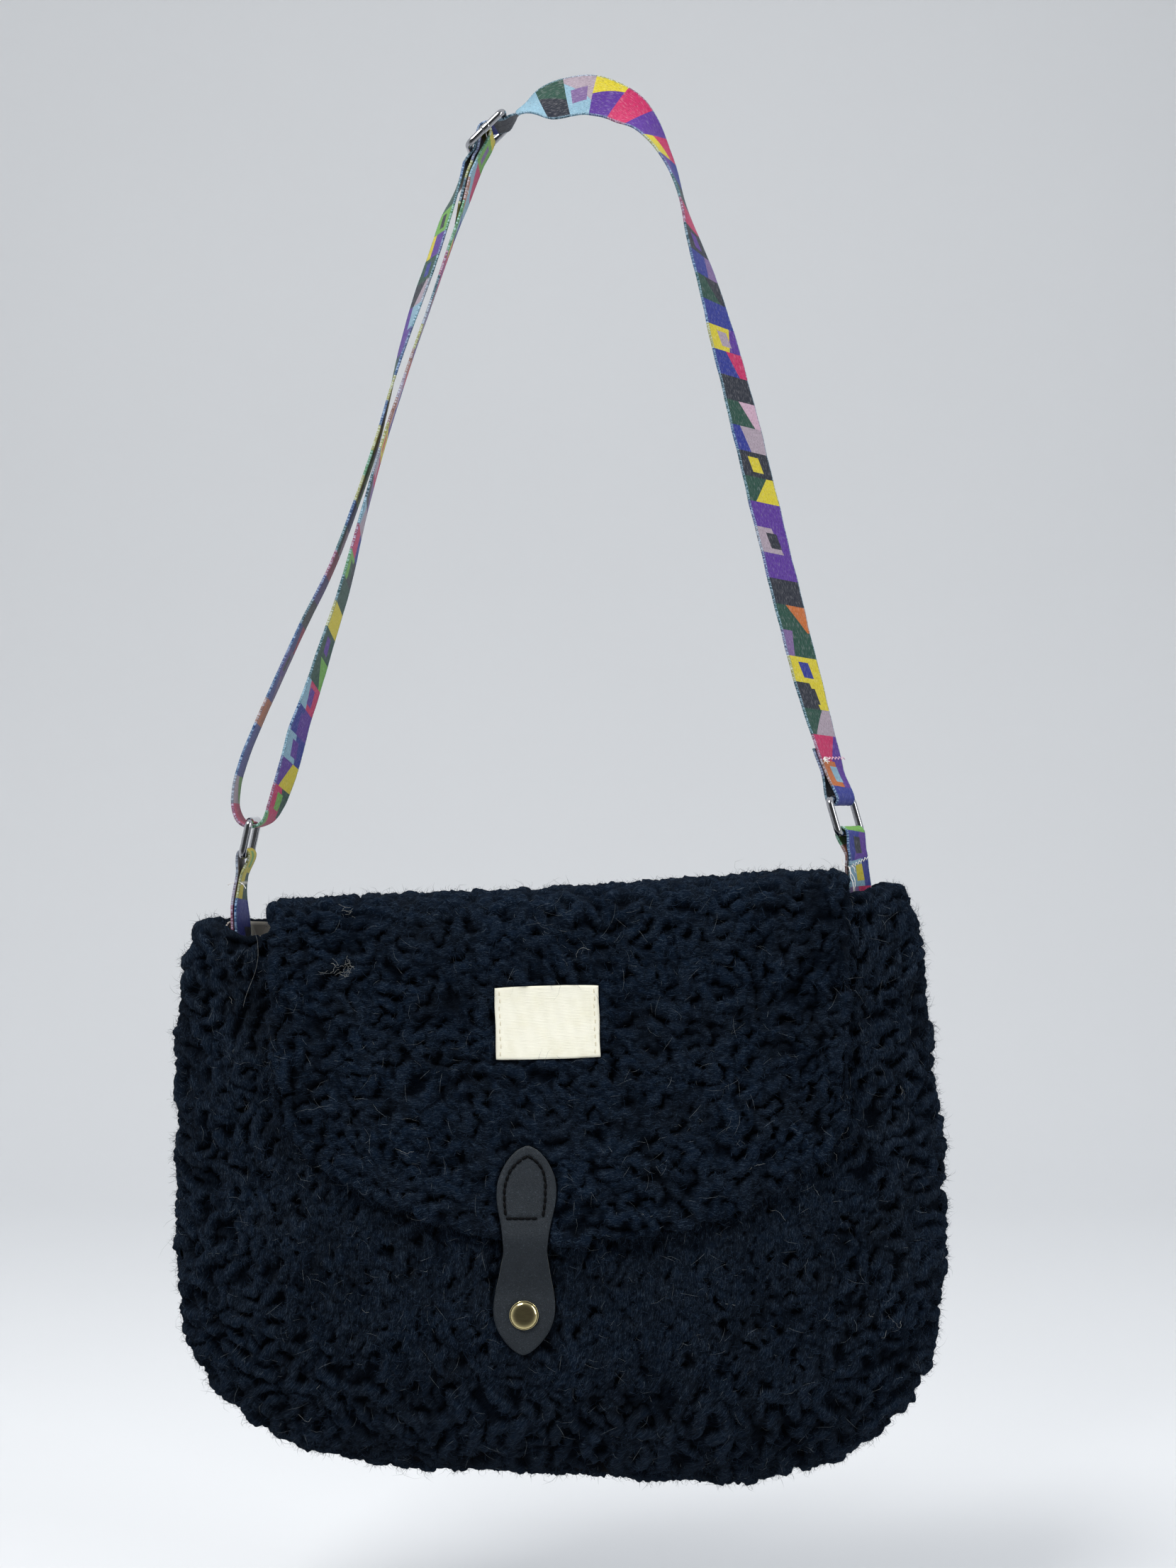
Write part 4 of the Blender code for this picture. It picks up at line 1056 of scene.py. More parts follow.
def pouch_half(side, pitch, spare):
    """The grid of half the pouch's outer face: over the lip, down the wall and under the bottom; `spare` columns beyond each seam."""
    count = int(430 / pitch)
    f = np.linspace(0, 1, count)
    lip = ((7.3, 2.6), (6.6, 1.0), (5.4, 0.2), (4.0, -0.1), (2.6, 0.0), (1.3, 0.5), (0.4, 1.4))
    rows = [half_section(0.0, side, f, inset=i, drop=d) for i, d in lip]
    steps = down_steps(pitch)
    rows += [half_section(float(d), side, f) for d in steps[steps > 0.008]]
    rows += [half_section(1.0, side, f, pinch=k, drop=1.6 * (1 - k**2)) for k in np.linspace(1, 0, 8)[1:]]
    g = np.array(rows)
    if spare:
        other = []
        fo = f[1 : spare + 1]
        lip_rows = [(0.0, dict(inset=i, drop=d)) for i, d in lip]
        lip_rows += [(float(d), {}) for d in steps[steps > 0.008]]
        lip_rows += [(1.0, dict(pinch=k, drop=1.6 * (1 - k**2))) for k in np.linspace(1, 0, 8)[1:]]
        for d, more in lip_rows:
            right = half_section(d, -side, fo, **more)[::-1]
            left = half_section(d, -side, 1 - fo, **more)
            other.append((right, left))
        g = np.concatenate([np.array([a for a, _ in other]), g, np.array([b for _, b in other])], 1)
    return g


def body_keep(p, n):
    inside = under_flap(p)
    lip = (p[:, 2] > rim(p[:, 0]) - 3.0) & (np.abs(p[:, 1] - MIDDLE) < 26.5)
    beneath = lip & (p[:, 0] > FLAP_LEFT - 3) & (p[:, 0] < FLAP_RIGHT + 3)
    return (inside < 20.0) & ~beneath


def body_way(p, n, r):
    """Down the bag the pile lies in ropes: upright at the left, leaning over to the right further right, and from front to back round the sides and the bottom."""
    x, z = p[:, 0], p[:, 2]
    lean = np.radians(-4 + 44 * smooth_step(-20, 120, x) - 8 * smooth_step(-60, -180, x))
    lean = lean * np.where(p[:, 1] < MIDDLE, 1.0, -1.0)
    lean = lean + 0.5 * lumps(p, 21, 60.0) + r.normal(0, 0.36, len(p))
    way = np.stack([np.sin(lean), np.zeros_like(lean), np.cos(lean)], -1)
    edge = smooth_step(0.35, 0.75, np.abs(n[:, 0]))[:, None]
    low = smooth_step(0.30, 0.70, -n[:, 2])[:, None]
    across = np.stack([r.normal(0, 0.25, len(p)), np.ones(len(p)), r.normal(0, 0.25, len(p))], -1)
    return way * (1 - np.maximum(edge, low)) + across * np.maximum(edge, low) * np.sign((across * way).sum(-1, keepdims=True) + 1e-9)


def body_larger(p, n):
    """Bigger curls round the sides and the biggest along the bottom, where they stand out as scallops."""
    edge = smooth_step(0.45, 0.85, np.abs(n[:, 0]))
    low = smooth_step(0.35, 0.75, -n[:, 2])
    front = smooth_step(-640, -700, p[:, 2])
    return 1.0 + 0.16 * edge + 0.42 * low + 0.12 * front


def any_way(p, n, r):
    return units(r.normal(size=p.shape))


def body_height(surface, high):
    """Pile height with what lies on the pile pressing it down."""
    p = surface.points
    big = lumps(p, 61, 70.0) * 0.7 + lumps(p, 62, 5.0) * 0.30 + lumps(p, 65, 2.8) * 0.24
    h = high + big
    front = p[:, 1] < MIDDLE
    flap = smooth_step(-4.0, 5.0, under_flap(p))
    h = h * (1 - flap) + np.minimum(h, -2.6) * flap
    tab = np.where(front, smooth_step(-2.6, 0.6, under_tab(p)), 0.0)
    h = h * (1 - tab) + np.minimum(h, 0.1) * tab
    # the rim is low where the left loop comes out, so that the lining shows behind it
    dip = np.exp(-(((p[:, 0] + 168) / 13.0) ** 2)) * smooth_step(-456, -446, p[:, 2]) * front
    h = h - 3.4 * dip
    lip = smooth_step(3.0, -1.0, rim(p[:, 0]) - p[:, 2])
    return h * (1 - 0.35 * lip) - 0.5 * lip


pouch = pouch_cloth()
PITCH_FRONT, PITCH_BACK = 1.19, 1.75
SPARE = 6
front_half = Surface(pouch_half(-1, PITCH_FRONT, SPARE), INSIDE)
back_half = Surface(pouch_half(1, PITCH_BACK, SPARE), INSIDE)
WHOLE = Surface(
    np.concatenate([pouch_half(-1, 4.0, 0), pouch_half(1, 4.0, 0)[:, ::-1][:, 1:-1]], 1), INSIDE, closed=True
)
ropes = scatter(WHOLE, 44000, body_way, 14.0, 6.5, body_keep, 5, body_larger)
curls = scatter(WHOLE, 14000, any_way, 11.0, 11.0, body_keep, 8, body_larger)
body_made, body_pieces = {}, []
for tag, surface in (("front", front_half), ("back", back_half)):
    fur = Fur(surface, -1.9, 0.22)
    # every roll is shaped alike on both halves, so that they meet at the seams
    for places, long, thick, top, seed in ((ropes, 16.5, 3.15, 2.7, 6), (curls, 4.4, 2.6, 0.6, 9)):
        fur.add(places, long, thick, top, seed)
    high = body_height(surface, fur.height())
    cols = surface.grid.shape[1]
    k = np.arange(cols)
    spare = np.minimum(k, cols - 1 - k)
    beyond = np.clip(SPARE - spare, 0, SPARE)[None] * 0.5

    def shows(c):
        inside = under_flap(c)
        beneath = (c[:, 2] > rim(c[:, 0]) - 4.0) & (np.abs(c[:, 1] - MIDDLE) < 25.0)
        beneath &= (c[:, 0] > FLAP_LEFT + 14) & (c[:, 0] < FLAP_RIGHT - 14)
        return (inside < 17.0) & ~beneath

    ob, made = skin(f"pouch_pile_{tag}", surface, high, shows, WOOL_BODY, fur.parting(), sink=beyond)
    body_pieces.append(carried(ob))
    body_made[tag] = made

# ------------------------------------------------------------------ flap cloth


def flap_cloth():
    g = flap_grid(73, 26, 44)
    n = grid_normals(g)
    if n[36, 50, 1] > 0:
        n = -n
    inner, outer = g - n * (FLAP_THICK / 2 - 0.2), g + n * (FLAP_THICK / 2 - 4.2)
    rows, cols = g.shape[:2]
    points = np.concatenate([outer.reshape(-1, 3), inner.reshape(-1, 3)])
    size = rows * cols
    front = grid_quads(rows, cols)
    back = front[:, ::-1] + size
    edge = [(i, 0) for i in range(rows)] + [(rows - 1, j) for j in range(1, cols)]
    edge += [(i, cols - 1) for i in range(rows - 2, -1, -1)] + [(0, j) for j in range(cols - 2, 0, -1)]
    e = np.array([i * cols + j for i, j in edge])
    nxt = np.roll(e, -1)
    faces = np.concatenate([front, back, np.stack([nxt, e, e + size, nxt + size], -1)])
    slots = np.concatenate([np.zeros(len(front)), np.ones(len(back)), np.zeros(len(e))]).astype(int)
    ob = build("flap_cloth", points, outward(points, faces), [BACK_CLOTH, LINING_MAT], slots=slots)
    return carried(ob, ["flap"])


flap = flap_cloth()


def flap_surface():
    """The flap's outer face, with rounded edges on its two sides and its lower edge."""
    g = flap_grid(224, 66, 132)
    n = grid_normals(g)
    if n[112, 150, 1] > 0:
        n = -n
    top = FLAP_THICK / 2
    turn_ = np.radians([-62, -40, -18, 4, 28, 52, 72])
    steps = [(top * math.sin(a) * 0.98, 2.6 * math.cos(a)) for a in turn_]
    left, right = -units(g[1] - g[0]), units(g[-1] - g[-2])
    cols = [g[0] + n[0] * a + left * b for a, b in steps]
    cols += list(g + n * top)
    cols += [g[-1] + n[-1] * a + right * b for a, b in steps[::-1]]
    out = np.array(cols)
    low = units(out[:, -1] - out[:, -2])
    normal = np.concatenate([np.repeat(n[:1, -1], len(steps), 0), n[:, -1], np.repeat(n[-1:, -1], len(steps), 0)])
    rows = [out[:, -1] + low * b + normal * (a - top) for a, b in steps[::-1]]
    return np.concatenate([out, np.stack(rows, 1)], 1)


FLAP_SURFACE = Surface(flap_surface(), np.array([-14.0, MIDDLE, -480.0]))


def flap_keep(p, n):
    return ~((under_label(p) > 6) & (p[:, 1] < MIDDLE))


def flap_way(p, n, r):
    """On the flap the pile is rounder and lies more level."""
    lean = np.pi / 2 + 0.9 * lumps(p, 33, 48.0) + r.normal(0, 0.6, len(p))
    x = p[:, 0]
    side = smooth_step(FLAP_LEFT + 30, FLAP_LEFT + 6, x) + smooth_step(FLAP_RIGHT - 30, FLAP_RIGHT - 6, x)
    lean = lean * (1 - 0.8 * side)
    level = np.stack([np.sin(lean), np.zeros_like(lean), np.cos(lean)], -1)
    over = np.stack([np.sin(lean), np.cos(lean), np.zeros_like(lean)], -1)
    return np.where((np.abs(n[:, 2]) > 0.6)[:, None], over, level)


def flap_larger(p, n):
    return 1.0 + 0.12 * lumps(p, 71, 60.0)


def flap_height(surface, high):
    p = surface.points
    h = high + lumps(p, 63, 60.0) * 0.8 + lumps(p, 64, 5.0) * 0.30 + lumps(p, 66, 2.8) * 0.24
    front = p[:, 1] < MIDDLE
    label_ = np.where(front, smooth_step(-2.2, 0.6, under_label(p)), 0.0)
    h = h * (1 - label_) + np.minimum(h, -0.35) * label_
    tab = np.where(front, smooth_step(-2.6, 0.6, under_tab(p)), 0.0)
    h = h * (1 - tab) + np.minimum(h, 0.1) * tab
    seam = smooth_step(7.0, -2.0, p[:, 2] - rim(p[:, 0])) * (p[:, 1] > MIDDLE)
    return h * (1 - 0.6 * seam) - 1.6 * seam


flap_ropes = scatter(FLAP_SURFACE, 24000, flap_way, 10.8, 6.8, flap_keep, 15, flap_larger)
flap_curls = scatter(FLAP_SURFACE, 7000, any_way, 12.0, 12.0, flap_keep, 18, flap_larger)
fur = Fur(FLAP_SURFACE, -2.0, 0.22)
fur.add(flap_ropes, 13.5, 3.45, 2.7, 16)
fur.add(flap_curls, 5.0, 3.0, 1.0, 19)
flap_skin, flap_made = skin(
    "flap_pile", FLAP_SURFACE, flap_height(FLAP_SURFACE, fur.height()), lambda c: np.ones(len(c), bool), WOOL_FLAP, fur.parting()
)
flap_pieces = [carried(flap_skin)]
print("rolls", len(ropes[0]), len(curls[0]), len(flap_ropes[0]), len(flap_curls[0]))

# ------------------------------------------------------------------ loose fibres


def bare(at_, normals, margin=0.6):
    """Leaves out the places that lie on the label or on the closure tab."""
    front = at_[:, 1] < MIDDLE
    on = front & ((under_label(at_) > -margin) | (under_tab(at_) > -margin))
    on |= front & (under_flap(at_) > 4.0) & (at_[:, 1] > flap_middle(at_[:, 0], at_[:, 2]))
    return at_[~on], normals[~on]


FIBRES = [
    # tag, piece, count, kind, shortest, longest, half thickness, material, seed; rim: how far edges are favoured
    dict(tag="front_a", on="front", count=7000, lie=True, low=2.5, high=9.0, thick=0.06, mat=HAIR, seed=31, rim=0.0),
    dict(tag="front_b", on="front", count=10500, lie=False, low=1.5, high=6.0, thick=0.075, mat=HAIR, seed=32, rim=3.0),
    dict(tag="back_a", on="back", count=3500, lie=True, low=2.5, high=9.0, thick=0.06, mat=HAIR, seed=33, rim=0.0),
    dict(tag="back_b", on="back", count=5200, lie=False, low=1.5, high=6.0, thick=0.075, mat=HAIR, seed=34, rim=2.0),
    dict(tag="flap_a", on="flap", count=5500, lie=True, low=2.5, high=9.0, thick=0.06, mat=HAIR, seed=35, rim=0.0),
    dict(tag="flap_b", on="flap", count=6600, lie=False, low=1.5, high=5.6, thick=0.075, mat=HAIR, seed=36, rim=3.0),
    dict(tag="front_pale", on="front", count=900, lie=True, low=3.0, high=13.0, thick=0.045, mat=PALE_HAIR, seed=37, rim=0.0),
    dict(tag="back_pale", on="back", count=500, lie=True, low=3.0, high=13.0, thick=0.045, mat=PALE_HAIR, seed=38, rim=0.0),
    dict(tag="flap_pale", on="flap", count=800, lie=True, low=3.0, high=13.0, thick=0.045, mat=PALE_HAIR, seed=39, rim=0.0),
]
made_of = {"front": body_made["front"], "back": body_made["back"], "flap": flap_made}
body_fuzz, flap_fuzz = [], []
for row in FIBRES:
    at_, n_ = bare(*roots(made_of[row["on"]], row["count"], row["seed"], rim_share=row["rim"]))
    make, more = (lying, dict(bends=2 if row["mat"] is PALE_HAIR else 1)) if row["lie"] else (standing, {})
    ob = make(f"fibres_{row['tag']}", at_, n_, row["low"], row["high"], row["thick"], row["mat"], row["seed"] + 50, **more)
    (flap_fuzz if row["on"] == "flap" else body_fuzz).append(carried(ob))


def wandering(start, way, normal, length, steps, curl, r):
    """A loose thread's path that wanders over the pile."""
    p, out = np.array(start, float), []
    d = unit(way)
    for _ in range(steps + 1):
        out.append(p.copy())
        side = np.cross(normal, d)
        d = unit(d + side * r.normal(0, curl) + np.asarray(normal) * r.normal(0, curl * 0.25))
        p = p + d * length / steps
    return np.array(out)


def pile_top(x, z):
    """Y of the pile's top on the front at (x, z), a little proud."""
    on_flap = FLAP_LEFT - 2 < x < FLAP_RIGHT + 2 and z > shield_end(min(max(x, FLAP_LEFT), FLAP_RIGHT))
    made = flap_made if on_flap else body_made["front"]
    p = made["points"]
    near = (np.abs(p[:, 0] - x) < 1.6) & (np.abs(p[:, 2] - z) < 1.6) & (p[:, 1] < MIDDLE + 5)
    return float(p[near, 1].min()) - 0.25 if near.any() else float(body_front(x, z)) - 2.5


r = np.random.default_rng(41)
pale_paths = []
# a long fine thread down the left end, curled at its top
s_ = np.linspace(0, 1, 30)
x = -168.0 + 3.4 * np.sin(s_ * 4.4) - 1.5 * s_
z = -441.5 - 40.0 * s_
y = np.array([pile_top(a, b) for a, b in zip(x, z)])
y = np.convolve(np.pad(y, 3, mode="edge"), np.ones(7) / 7, "valid")
pale_paths.append(np.column_stack([x, y - 0.3, z]))
for cx, cz, spread, number in ((-120.5, -433.5, 2.2, 6), (-121.5, -461.5, 2.4, 26)):
    for _ in range(number):
        sx, sz = cx + r.normal(0, spread), cz + r.normal(0, spread * 0.8)
        a = r.random() * 6.3
        pale_paths.append(wandering((sx, pile_top(sx, sz), sz), (math.cos(a), 0, math.sin(a)), (0, -1, 0), 2.5 + 3.5 * r.random(), 8, 0.5, r))
for _ in range(16):
    sx, sz = r.uniform(-190, 165), r.uniform(-700, -455)
    here = np.array([sx, 0, sz])
    if under_label(here) > -6 or under_tab(here) > -6:
        continue
    a = r.random() * 6.3
    pale_paths.append(wandering((sx, pile_top(sx, sz), sz), (math.cos(a), 0, math.sin(a)), (0, -1, 0), 4 + 8 * r.random(), 12, 0.42, r))
# two curly grey threads low on the right
for sx, sz, way in ((139.0, -633.0, (0.2, 0, -1)), (155.0, -637.0, (0.5, 0, -1))):
    pale_paths.append(wandering((sx, pile_top(sx, sz) - 0.5, sz), way, (0, -1, 0), 14.0, 22, 0.75, r))
stray = carried(threads("stray_pale_threads", pale_paths, 0.052, STRAY, sides=4))

# ------------------------------------------------------------------ lining band in the mouth


def lining_band():
    rows = np.linspace(0.0, 0.1, 13)
    hem = 3
    out = [loop(float(d), WALL + GAP, drop=0.3 if i == 0 else 0.0) for i, d in enumerate(rows)]
    inn = []
    for i, d in enumerate(rows):
        thick = LINING * (1.0 if i >= len(rows) - hem else 0.75)
        inn.append(loop(float(d), WALL + GAP + thick, drop=0.3 if i == 0 else 0.0))
    loops = np.array(out[::-1] + inn)
    n = loops.shape[1]
    points = loops.reshape(-1, 3)
    quads = grid_quads(len(loops), n, closed=True)
    last = (len(loops) - 1) * n
    k = np.arange(n)
    j = (k + 1) % n
    quads = np.concatenate([quads, np.stack([last + k, last + j, j, k], -1)])
    row = quads.min(1) // n
    slots = ((row <= hem) | (row >= len(loops) - hem - 1)).astype(int)
    ob = build("lining_band", points, outward(points, quads), [LINING_MAT, HEM_MAT], slots=slots)
    return carried(ob, ["lining"])


lining = lining_band()

# ------------------------------------------------------------------ label


def label_point(a, b, out=0.0):
    """A point of the label: a across, b up from its centre, out from its mid surface."""
    x = LABEL_X + a * math.cos(LABEL_TILT) - b * math.sin(LABEL_TILT)
    z = LABEL_Z + a * math.sin(LABEL_TILT) + b * math.cos(LABEL_TILT)
    bow = 0.5 * math.cos(math.pi * a / LABEL_WIDE)
    ripple = 0.16 * math.sin(a * 0.33 + 1.0) * (b / 18.0) + 0.10 * math.sin(a * 0.9 + b * 0.2)
    y = float(flap_face(x, z)) - GAP - 0.75 - bow - ripple - out
    return x, y, z


def label():
    across, up = 61, 31
    face, back = [], []
    for i in range(up):
        for j in range(across):
            k, m = j / (across - 1) * 2 - 1, 1 - 2 * i / (up - 1)
            half = LABEL_HIGH / 2 + 0.45 * (1 - k * k) * (1 if m > 0 else 0.3) - 0.25 * abs(k) ** 6
            wide = LABEL_WIDE / 2 + 0.12 * math.sin(m * 5.0 + k)
            a, b = k * wide, m * half
            fold = max(0.0, (abs(a) - LABEL_WIDE / 2 + 4.4) / 0.45)
            fold = min(1.0, fold)
            corner = max(0.0, abs(k) ** 24)
            out = 0.22 + 0.42 * fold - 0.42 * corner
            face.append(label_point(a, b, out))
            back.append(label_point(a, b, -0.34 + 0.2 * corner))
    points = np.array(face + back)
    size = across * up
    front = grid_quads(up, across)
    e = [i for i in range(across)] + [i * across + across - 1 for i in range(1, up)]
    e += [(up - 1) * across + j for j in range(across - 2, -1, -1)] + [i * across for i in range(up - 2, 0, -1)]
    e = np.array(e)
    nxt = np.roll(e, -1)
    faces = np.concatenate([front, front[:, ::-1] + size, np.stack([nxt, e, e + size, nxt + size], -1)])
    jj, ii = np.meshgrid(np.arange(across), np.arange(up))
    uv = np.stack([jj.ravel() / (across - 1) * LABEL_WIDE, ii.ravel() / (up - 1) * LABEL_HIGH], -1)
    ob = build("cream_label", points, outward(points, faces), CREAM, uv=np.concatenate([uv, uv]))
    return carried(ob, ["label"])


tape = label()
stitches = []
for side in (-1, 1):
    for k in range(9):
        b0 = LABEL_HIGH / 2 - 1.6 - k * 3.72
        pts = []
        for m in range(7):
            s = m / 6
            b = b0 - 2.5 * s
            a = side * (LABEL_WIDE / 2 - 2.3) + 0.25 * math.sin(k * 2.1)
            pts.append(label_point(a, b, 0.36 + 0.30 * math.sin(math.pi * s)))
        stitches.append(pts)
tape_seam = carried(threads("label_stitches", stitches, 0.26, CREAM_THREAD))

# ------------------------------------------------------------------ leather closure tab and its snap


def tab_at(down, across):
    """Centre of the tab's thickness, and its outward direction."""
    low, high = tab_mid(max(0.0, down - 1.5)), tab_mid(min(TAB_LONG, down + 1.5))
    d = unit(high - low)
    out = unit(np.cross(d, (1.0, 0, 0)))
    if out[1] > 0:
        out = -out
    return tab_mid(down) + np.array([across, 0, 0]), out


# down: from the tab's top tip; left, right: the stitch lines' distances from its middle
ARCH_ROWS = [
    dict(down=4.7, left=0.1, right=0.3),
    dict(down=6.5, left=-2.8, right=3.3),
    dict(down=10.3, left=-6.9, right=6.9),
    dict(down=15.5, left=-9.6, right=8.8),
    dict(down=20.0, left=-10.7, right=9.3),
    dict(down=26.0, left=-10.8, right=9.3),
    dict(down=31.0, left=-10.3, right=8.8),
    dict(down=35.0, left=-9.8, right=8.3),
]
ARCH_FOOT = 35.1


def arch(column):
    """The stitch line of one side: from the pointed top, over the shoulder, down to the foot."""
    down = 4.7 + 30.3 * np.linspace(0, 1, 60) ** 1.5
    return np.column_stack([eased(ARCH_ROWS, "down", column)(down), down])


FOOT_LINE = np.column_stack([np.linspace(-9.9, 8.5, 23), np.full(23, ARCH_FOOT)])
SEAM_LINES = [arch("left"), arch("right"), FOOT_LINE]
SEAM_POINTS = np.concatenate(SEAM_LINES)


def leather_tab():
    steps, across = 170, 33
    face, back, uv = [], [], []
    for i in range(steps + 1):
        s = (1 - math.cos(math.pi * i / steps)) / 2
        down = TAB_LONG * s
        half = float(TAB_HALF(down))
        for j in range(across):
            k = math.sin((j / (across - 1) * 2 - 1) * math.pi / 2)
            k = 0.65 * k + 0.35 * (j / (across - 1) * 2 - 1)
            a = half * k
            mid, out = tab_at(down, a)
            edge = min(half - abs(a), 60.0)
            end = min(down, TAB_LONG - down) * 1.1
            near = min(edge, end)
            crown = 1 - 0.5 * math.exp(-((near / 0.55) ** 1.3))
            groove = np.min((SEAM_POINTS[:, 0] - a) ** 2 + (SEAM_POINTS[:, 1] - down) ** 2)
            press = 0.34 * math.exp(-groove / 0.75) + 0.18 * math.exp(-((math.hypot(a, down - SNAP_DOWN) - SNAP_R) ** 2) / 1.4)
            face.append(mid + out * (TAB_THICK / 2 * crown - press))
            back.append(mid - out * (TAB_THICK / 2 * (0.55 + 0.45 * crown)))
    points = np.array(face + back)
    size = (steps + 1) * across
    front = grid_quads(steps + 1, across)
    e = [i for i in range(across)] + [i * across + across - 1 for i in range(1, steps + 1)]
    e += [steps * across + j for j in range(across - 2, -1, -1)] + [i * across for i in range(steps - 1, 0, -1)]
    e = np.array(e)
    nxt = np.roll(e, -1)
    border = np.stack([nxt, e, e + size, nxt + size], -1)
    faces = np.concatenate([front, front[:, ::-1] + size, border])
    slots = np.concatenate([np.zeros(len(front)), np.ones(len(front)), np.ones(len(border))]).astype(int)
    ob = build("leather_closure_tab", points, outward(points, faces), [LEATHER, LEATHER_EDGE_WITH_PAINTED_LIGHT], slots=slots)
    return carried(ob, ["closure_tab"])


leather_piece = leather_tab()


def stitch_run(line, pitch, long, raise_by, skip=0.0):
    """Stitches along a line on the tab."""
    step = np.concatenate([[0], np.cumsum(np.hypot(*np.diff(line, axis=0).T))])
    out, at = [], skip
    while at + long <= step[-1] + 0.01:
        pts = []
        for m in range(7):
            s = at + long * m / 6
            a, d = np.interp(s, step, line[:, 0]), np.interp(s, step, line[:, 1])
            mid, n = tab_at(float(d), float(a))
            pts.append(mid + n * (TAB_THICK / 2 - 0.22 + raise_by * math.sin(math.pi * m / 6)))
        out.append(pts)
        at += pitch
    return out


tab_stitches = stitch_run(arch("left"), 3.35, 2.95, 0.30, 0.1) + stitch_run(arch("right"), 3.35, 2.95, 0.30, 0.1)
tab_stitches += stitch_run(FOOT_LINE, 3.1, 2.75, 0.30, 0.2)
tab_seam = carried(threads("tab_stitches", tab_stitches, 0.66, BLACK_THREAD))


def snap():
    mid, out = tab_at(SNAP_DOWN, 0.0)
    mid = tab_mid(SNAP_DOWN)
    up = np.cross((1.0, 0, 0), out)
    base = mid + out * (TAB_THICK / 2 - 0.05)
    profile = [(0.92, -0.06), (0.985, 0.0), (1.0, 0.06), (1.0, 0.13), (0.985, 0.185), (0.965, 0.20)]
    for k in range(1, 19):
        a = k / 19 * math.pi / 2
        profile.append((0.955 * math.cos(a) ** 0.8, 0.205 + 0.795 * math.sin(a) ** 0.95))
    ways, points = 96, []
    for rr, h in profile:
        for k in range(ways):
            a = 2 * math.pi * k / ways
            points.append(base + (np.array([math.cos(a), 0, 0]) + up * math.sin(a)) * rr * SNAP_R + out * (h * SNAP_HIGH + GAP))
    quads = grid_quads(len(profile), ways, closed=True)
    points.append(base + out * (SNAP_HIGH + GAP))
    points.append(base)
    top = (len(profile) - 1) * ways
    k = np.arange(ways)
    j = (k + 1) % ways
    tris = np.concatenate(
        [np.stack([top + k, top + j, np.full(ways, len(points) - 2)], -1), np.stack([j, k, np.full(ways, len(points) - 1)], -1)]
    )
    ob = build("brass_snap", points, outward(points, [quads, tris]), BRASS)
    return carried(ob, ["snap_cap"])


snap()

# ------------------------------------------------------------------ rings and slider

WEB_WIDE, WEB_THICK, WIRE = 25.0, 1.4, 3.8
RING_WIDE, RING_HIGH, RING_CORNER = 30.0, 18.0, 3.0
SLIDER_WIDE, SLIDER_HIGH, BAR = 30.0, 25.0, 3.0
BAR_TURN = WIRE / 2 + GAP + WEB_THICK / 2


class Frame:
    """A flat frame of wire: `across` runs along its bars, `up` in its plane, `out` away from its plane."""

    def __init__(self, centre, across, up, side=1):
        self.centre = np.array(centre, float)
        self.across = unit(across)
        up = np.array(up, float)
        self.up = unit(up - self.across * (up @ self.across))
        self.out = side * np.cross(self.across, self.up)

    def at(self, out, up, across=0.0):
        return self.centre + self.out * out + self.up * up + self.across * across


RIGHT = Frame((130.7, MIDDLE, -386.3), (0.48, 0.877, 0.0), (-0.33, 0.0, 0.94))
LEFT = Frame((-173.1, MIDDLE, -397.5), (0.02, 1.0, 0.0), (0.21, 0.0, 0.98))
SLIDER = Frame((-54.3, -4.0, -22.9), (0.05, 1.0, -0.05), (0.71, 0.0, 0.70), side=-1)


def wire_loop(frame_, wide, high, corner, sides=20, turns=12, straight=6):
    path = []
    corners = ((1, 1, 0), (-1, 1, 90), (-1, -1, 180), (1, -1, 270))
    for m, (sx, sy, start) in enumerate(corners):
        cx, cy = sx * (wide / 2 - corner), sy * (high / 2 - corner)
        for k in range(turns + 1):
            a = math.radians(start + 90 * k / turns)
            path.append((cx + corner * math.cos(a), cy + corner * math.sin(a)))
        nx, ny, nstart = corners[(m + 1) % 4]
        a = math.radians(nstart)
        ex = nx * (wide / 2 - corner) + corner * math.cos(a)
        ey = ny * (high / 2 - corner) + corner * math.sin(a)
        for k in range(1, straight):
            s = k / straight
            path.append((path[-k][0] * (1 - s) + ex * s, path[-k][1] * (1 - s) + ey * s))
    path = np.array(path)
    n = len(path)
    t = units(np.roll(path, -1, 0) - np.roll(path, 1, 0))
    side = np.stack([t[:, 1], -t[:, 0]], -1)
    a = 2 * np.pi * (np.arange(sides) + 0.5) / sides
    r = WIRE / 2
    flat = path[:, None] + side[:, None] * (r * np.cos(a))[None, :, None]
    points = (
        frame_.centre
        + frame_.out * (r * np.sin(a))[None, :, None]
        + frame_.up * flat[..., 1:2]
        + frame_.across * flat[..., 0:1]
    )
    points = points.reshape(-1, 3)
    quads = grid_quads(n, sides, closed=True)
    last = (n - 1) * sides
    k = np.arange(sides)
    j = (k + 1) % sides
    quads = np.concatenate([quads, np.stack([last + k, last + j, j, k], -1)])
    return points, outward(points, quads)


def ring(name, node, frame_):
    p, f = wire_loop(frame_, RING_WIDE, RING_HIGH, RING_CORNER)
    return carried(build(name, p, f, NICKEL), [node])


ring("ring_left_wire", "ring_left", LEFT)
ring("ring_right_wire", "ring_right", RIGHT)


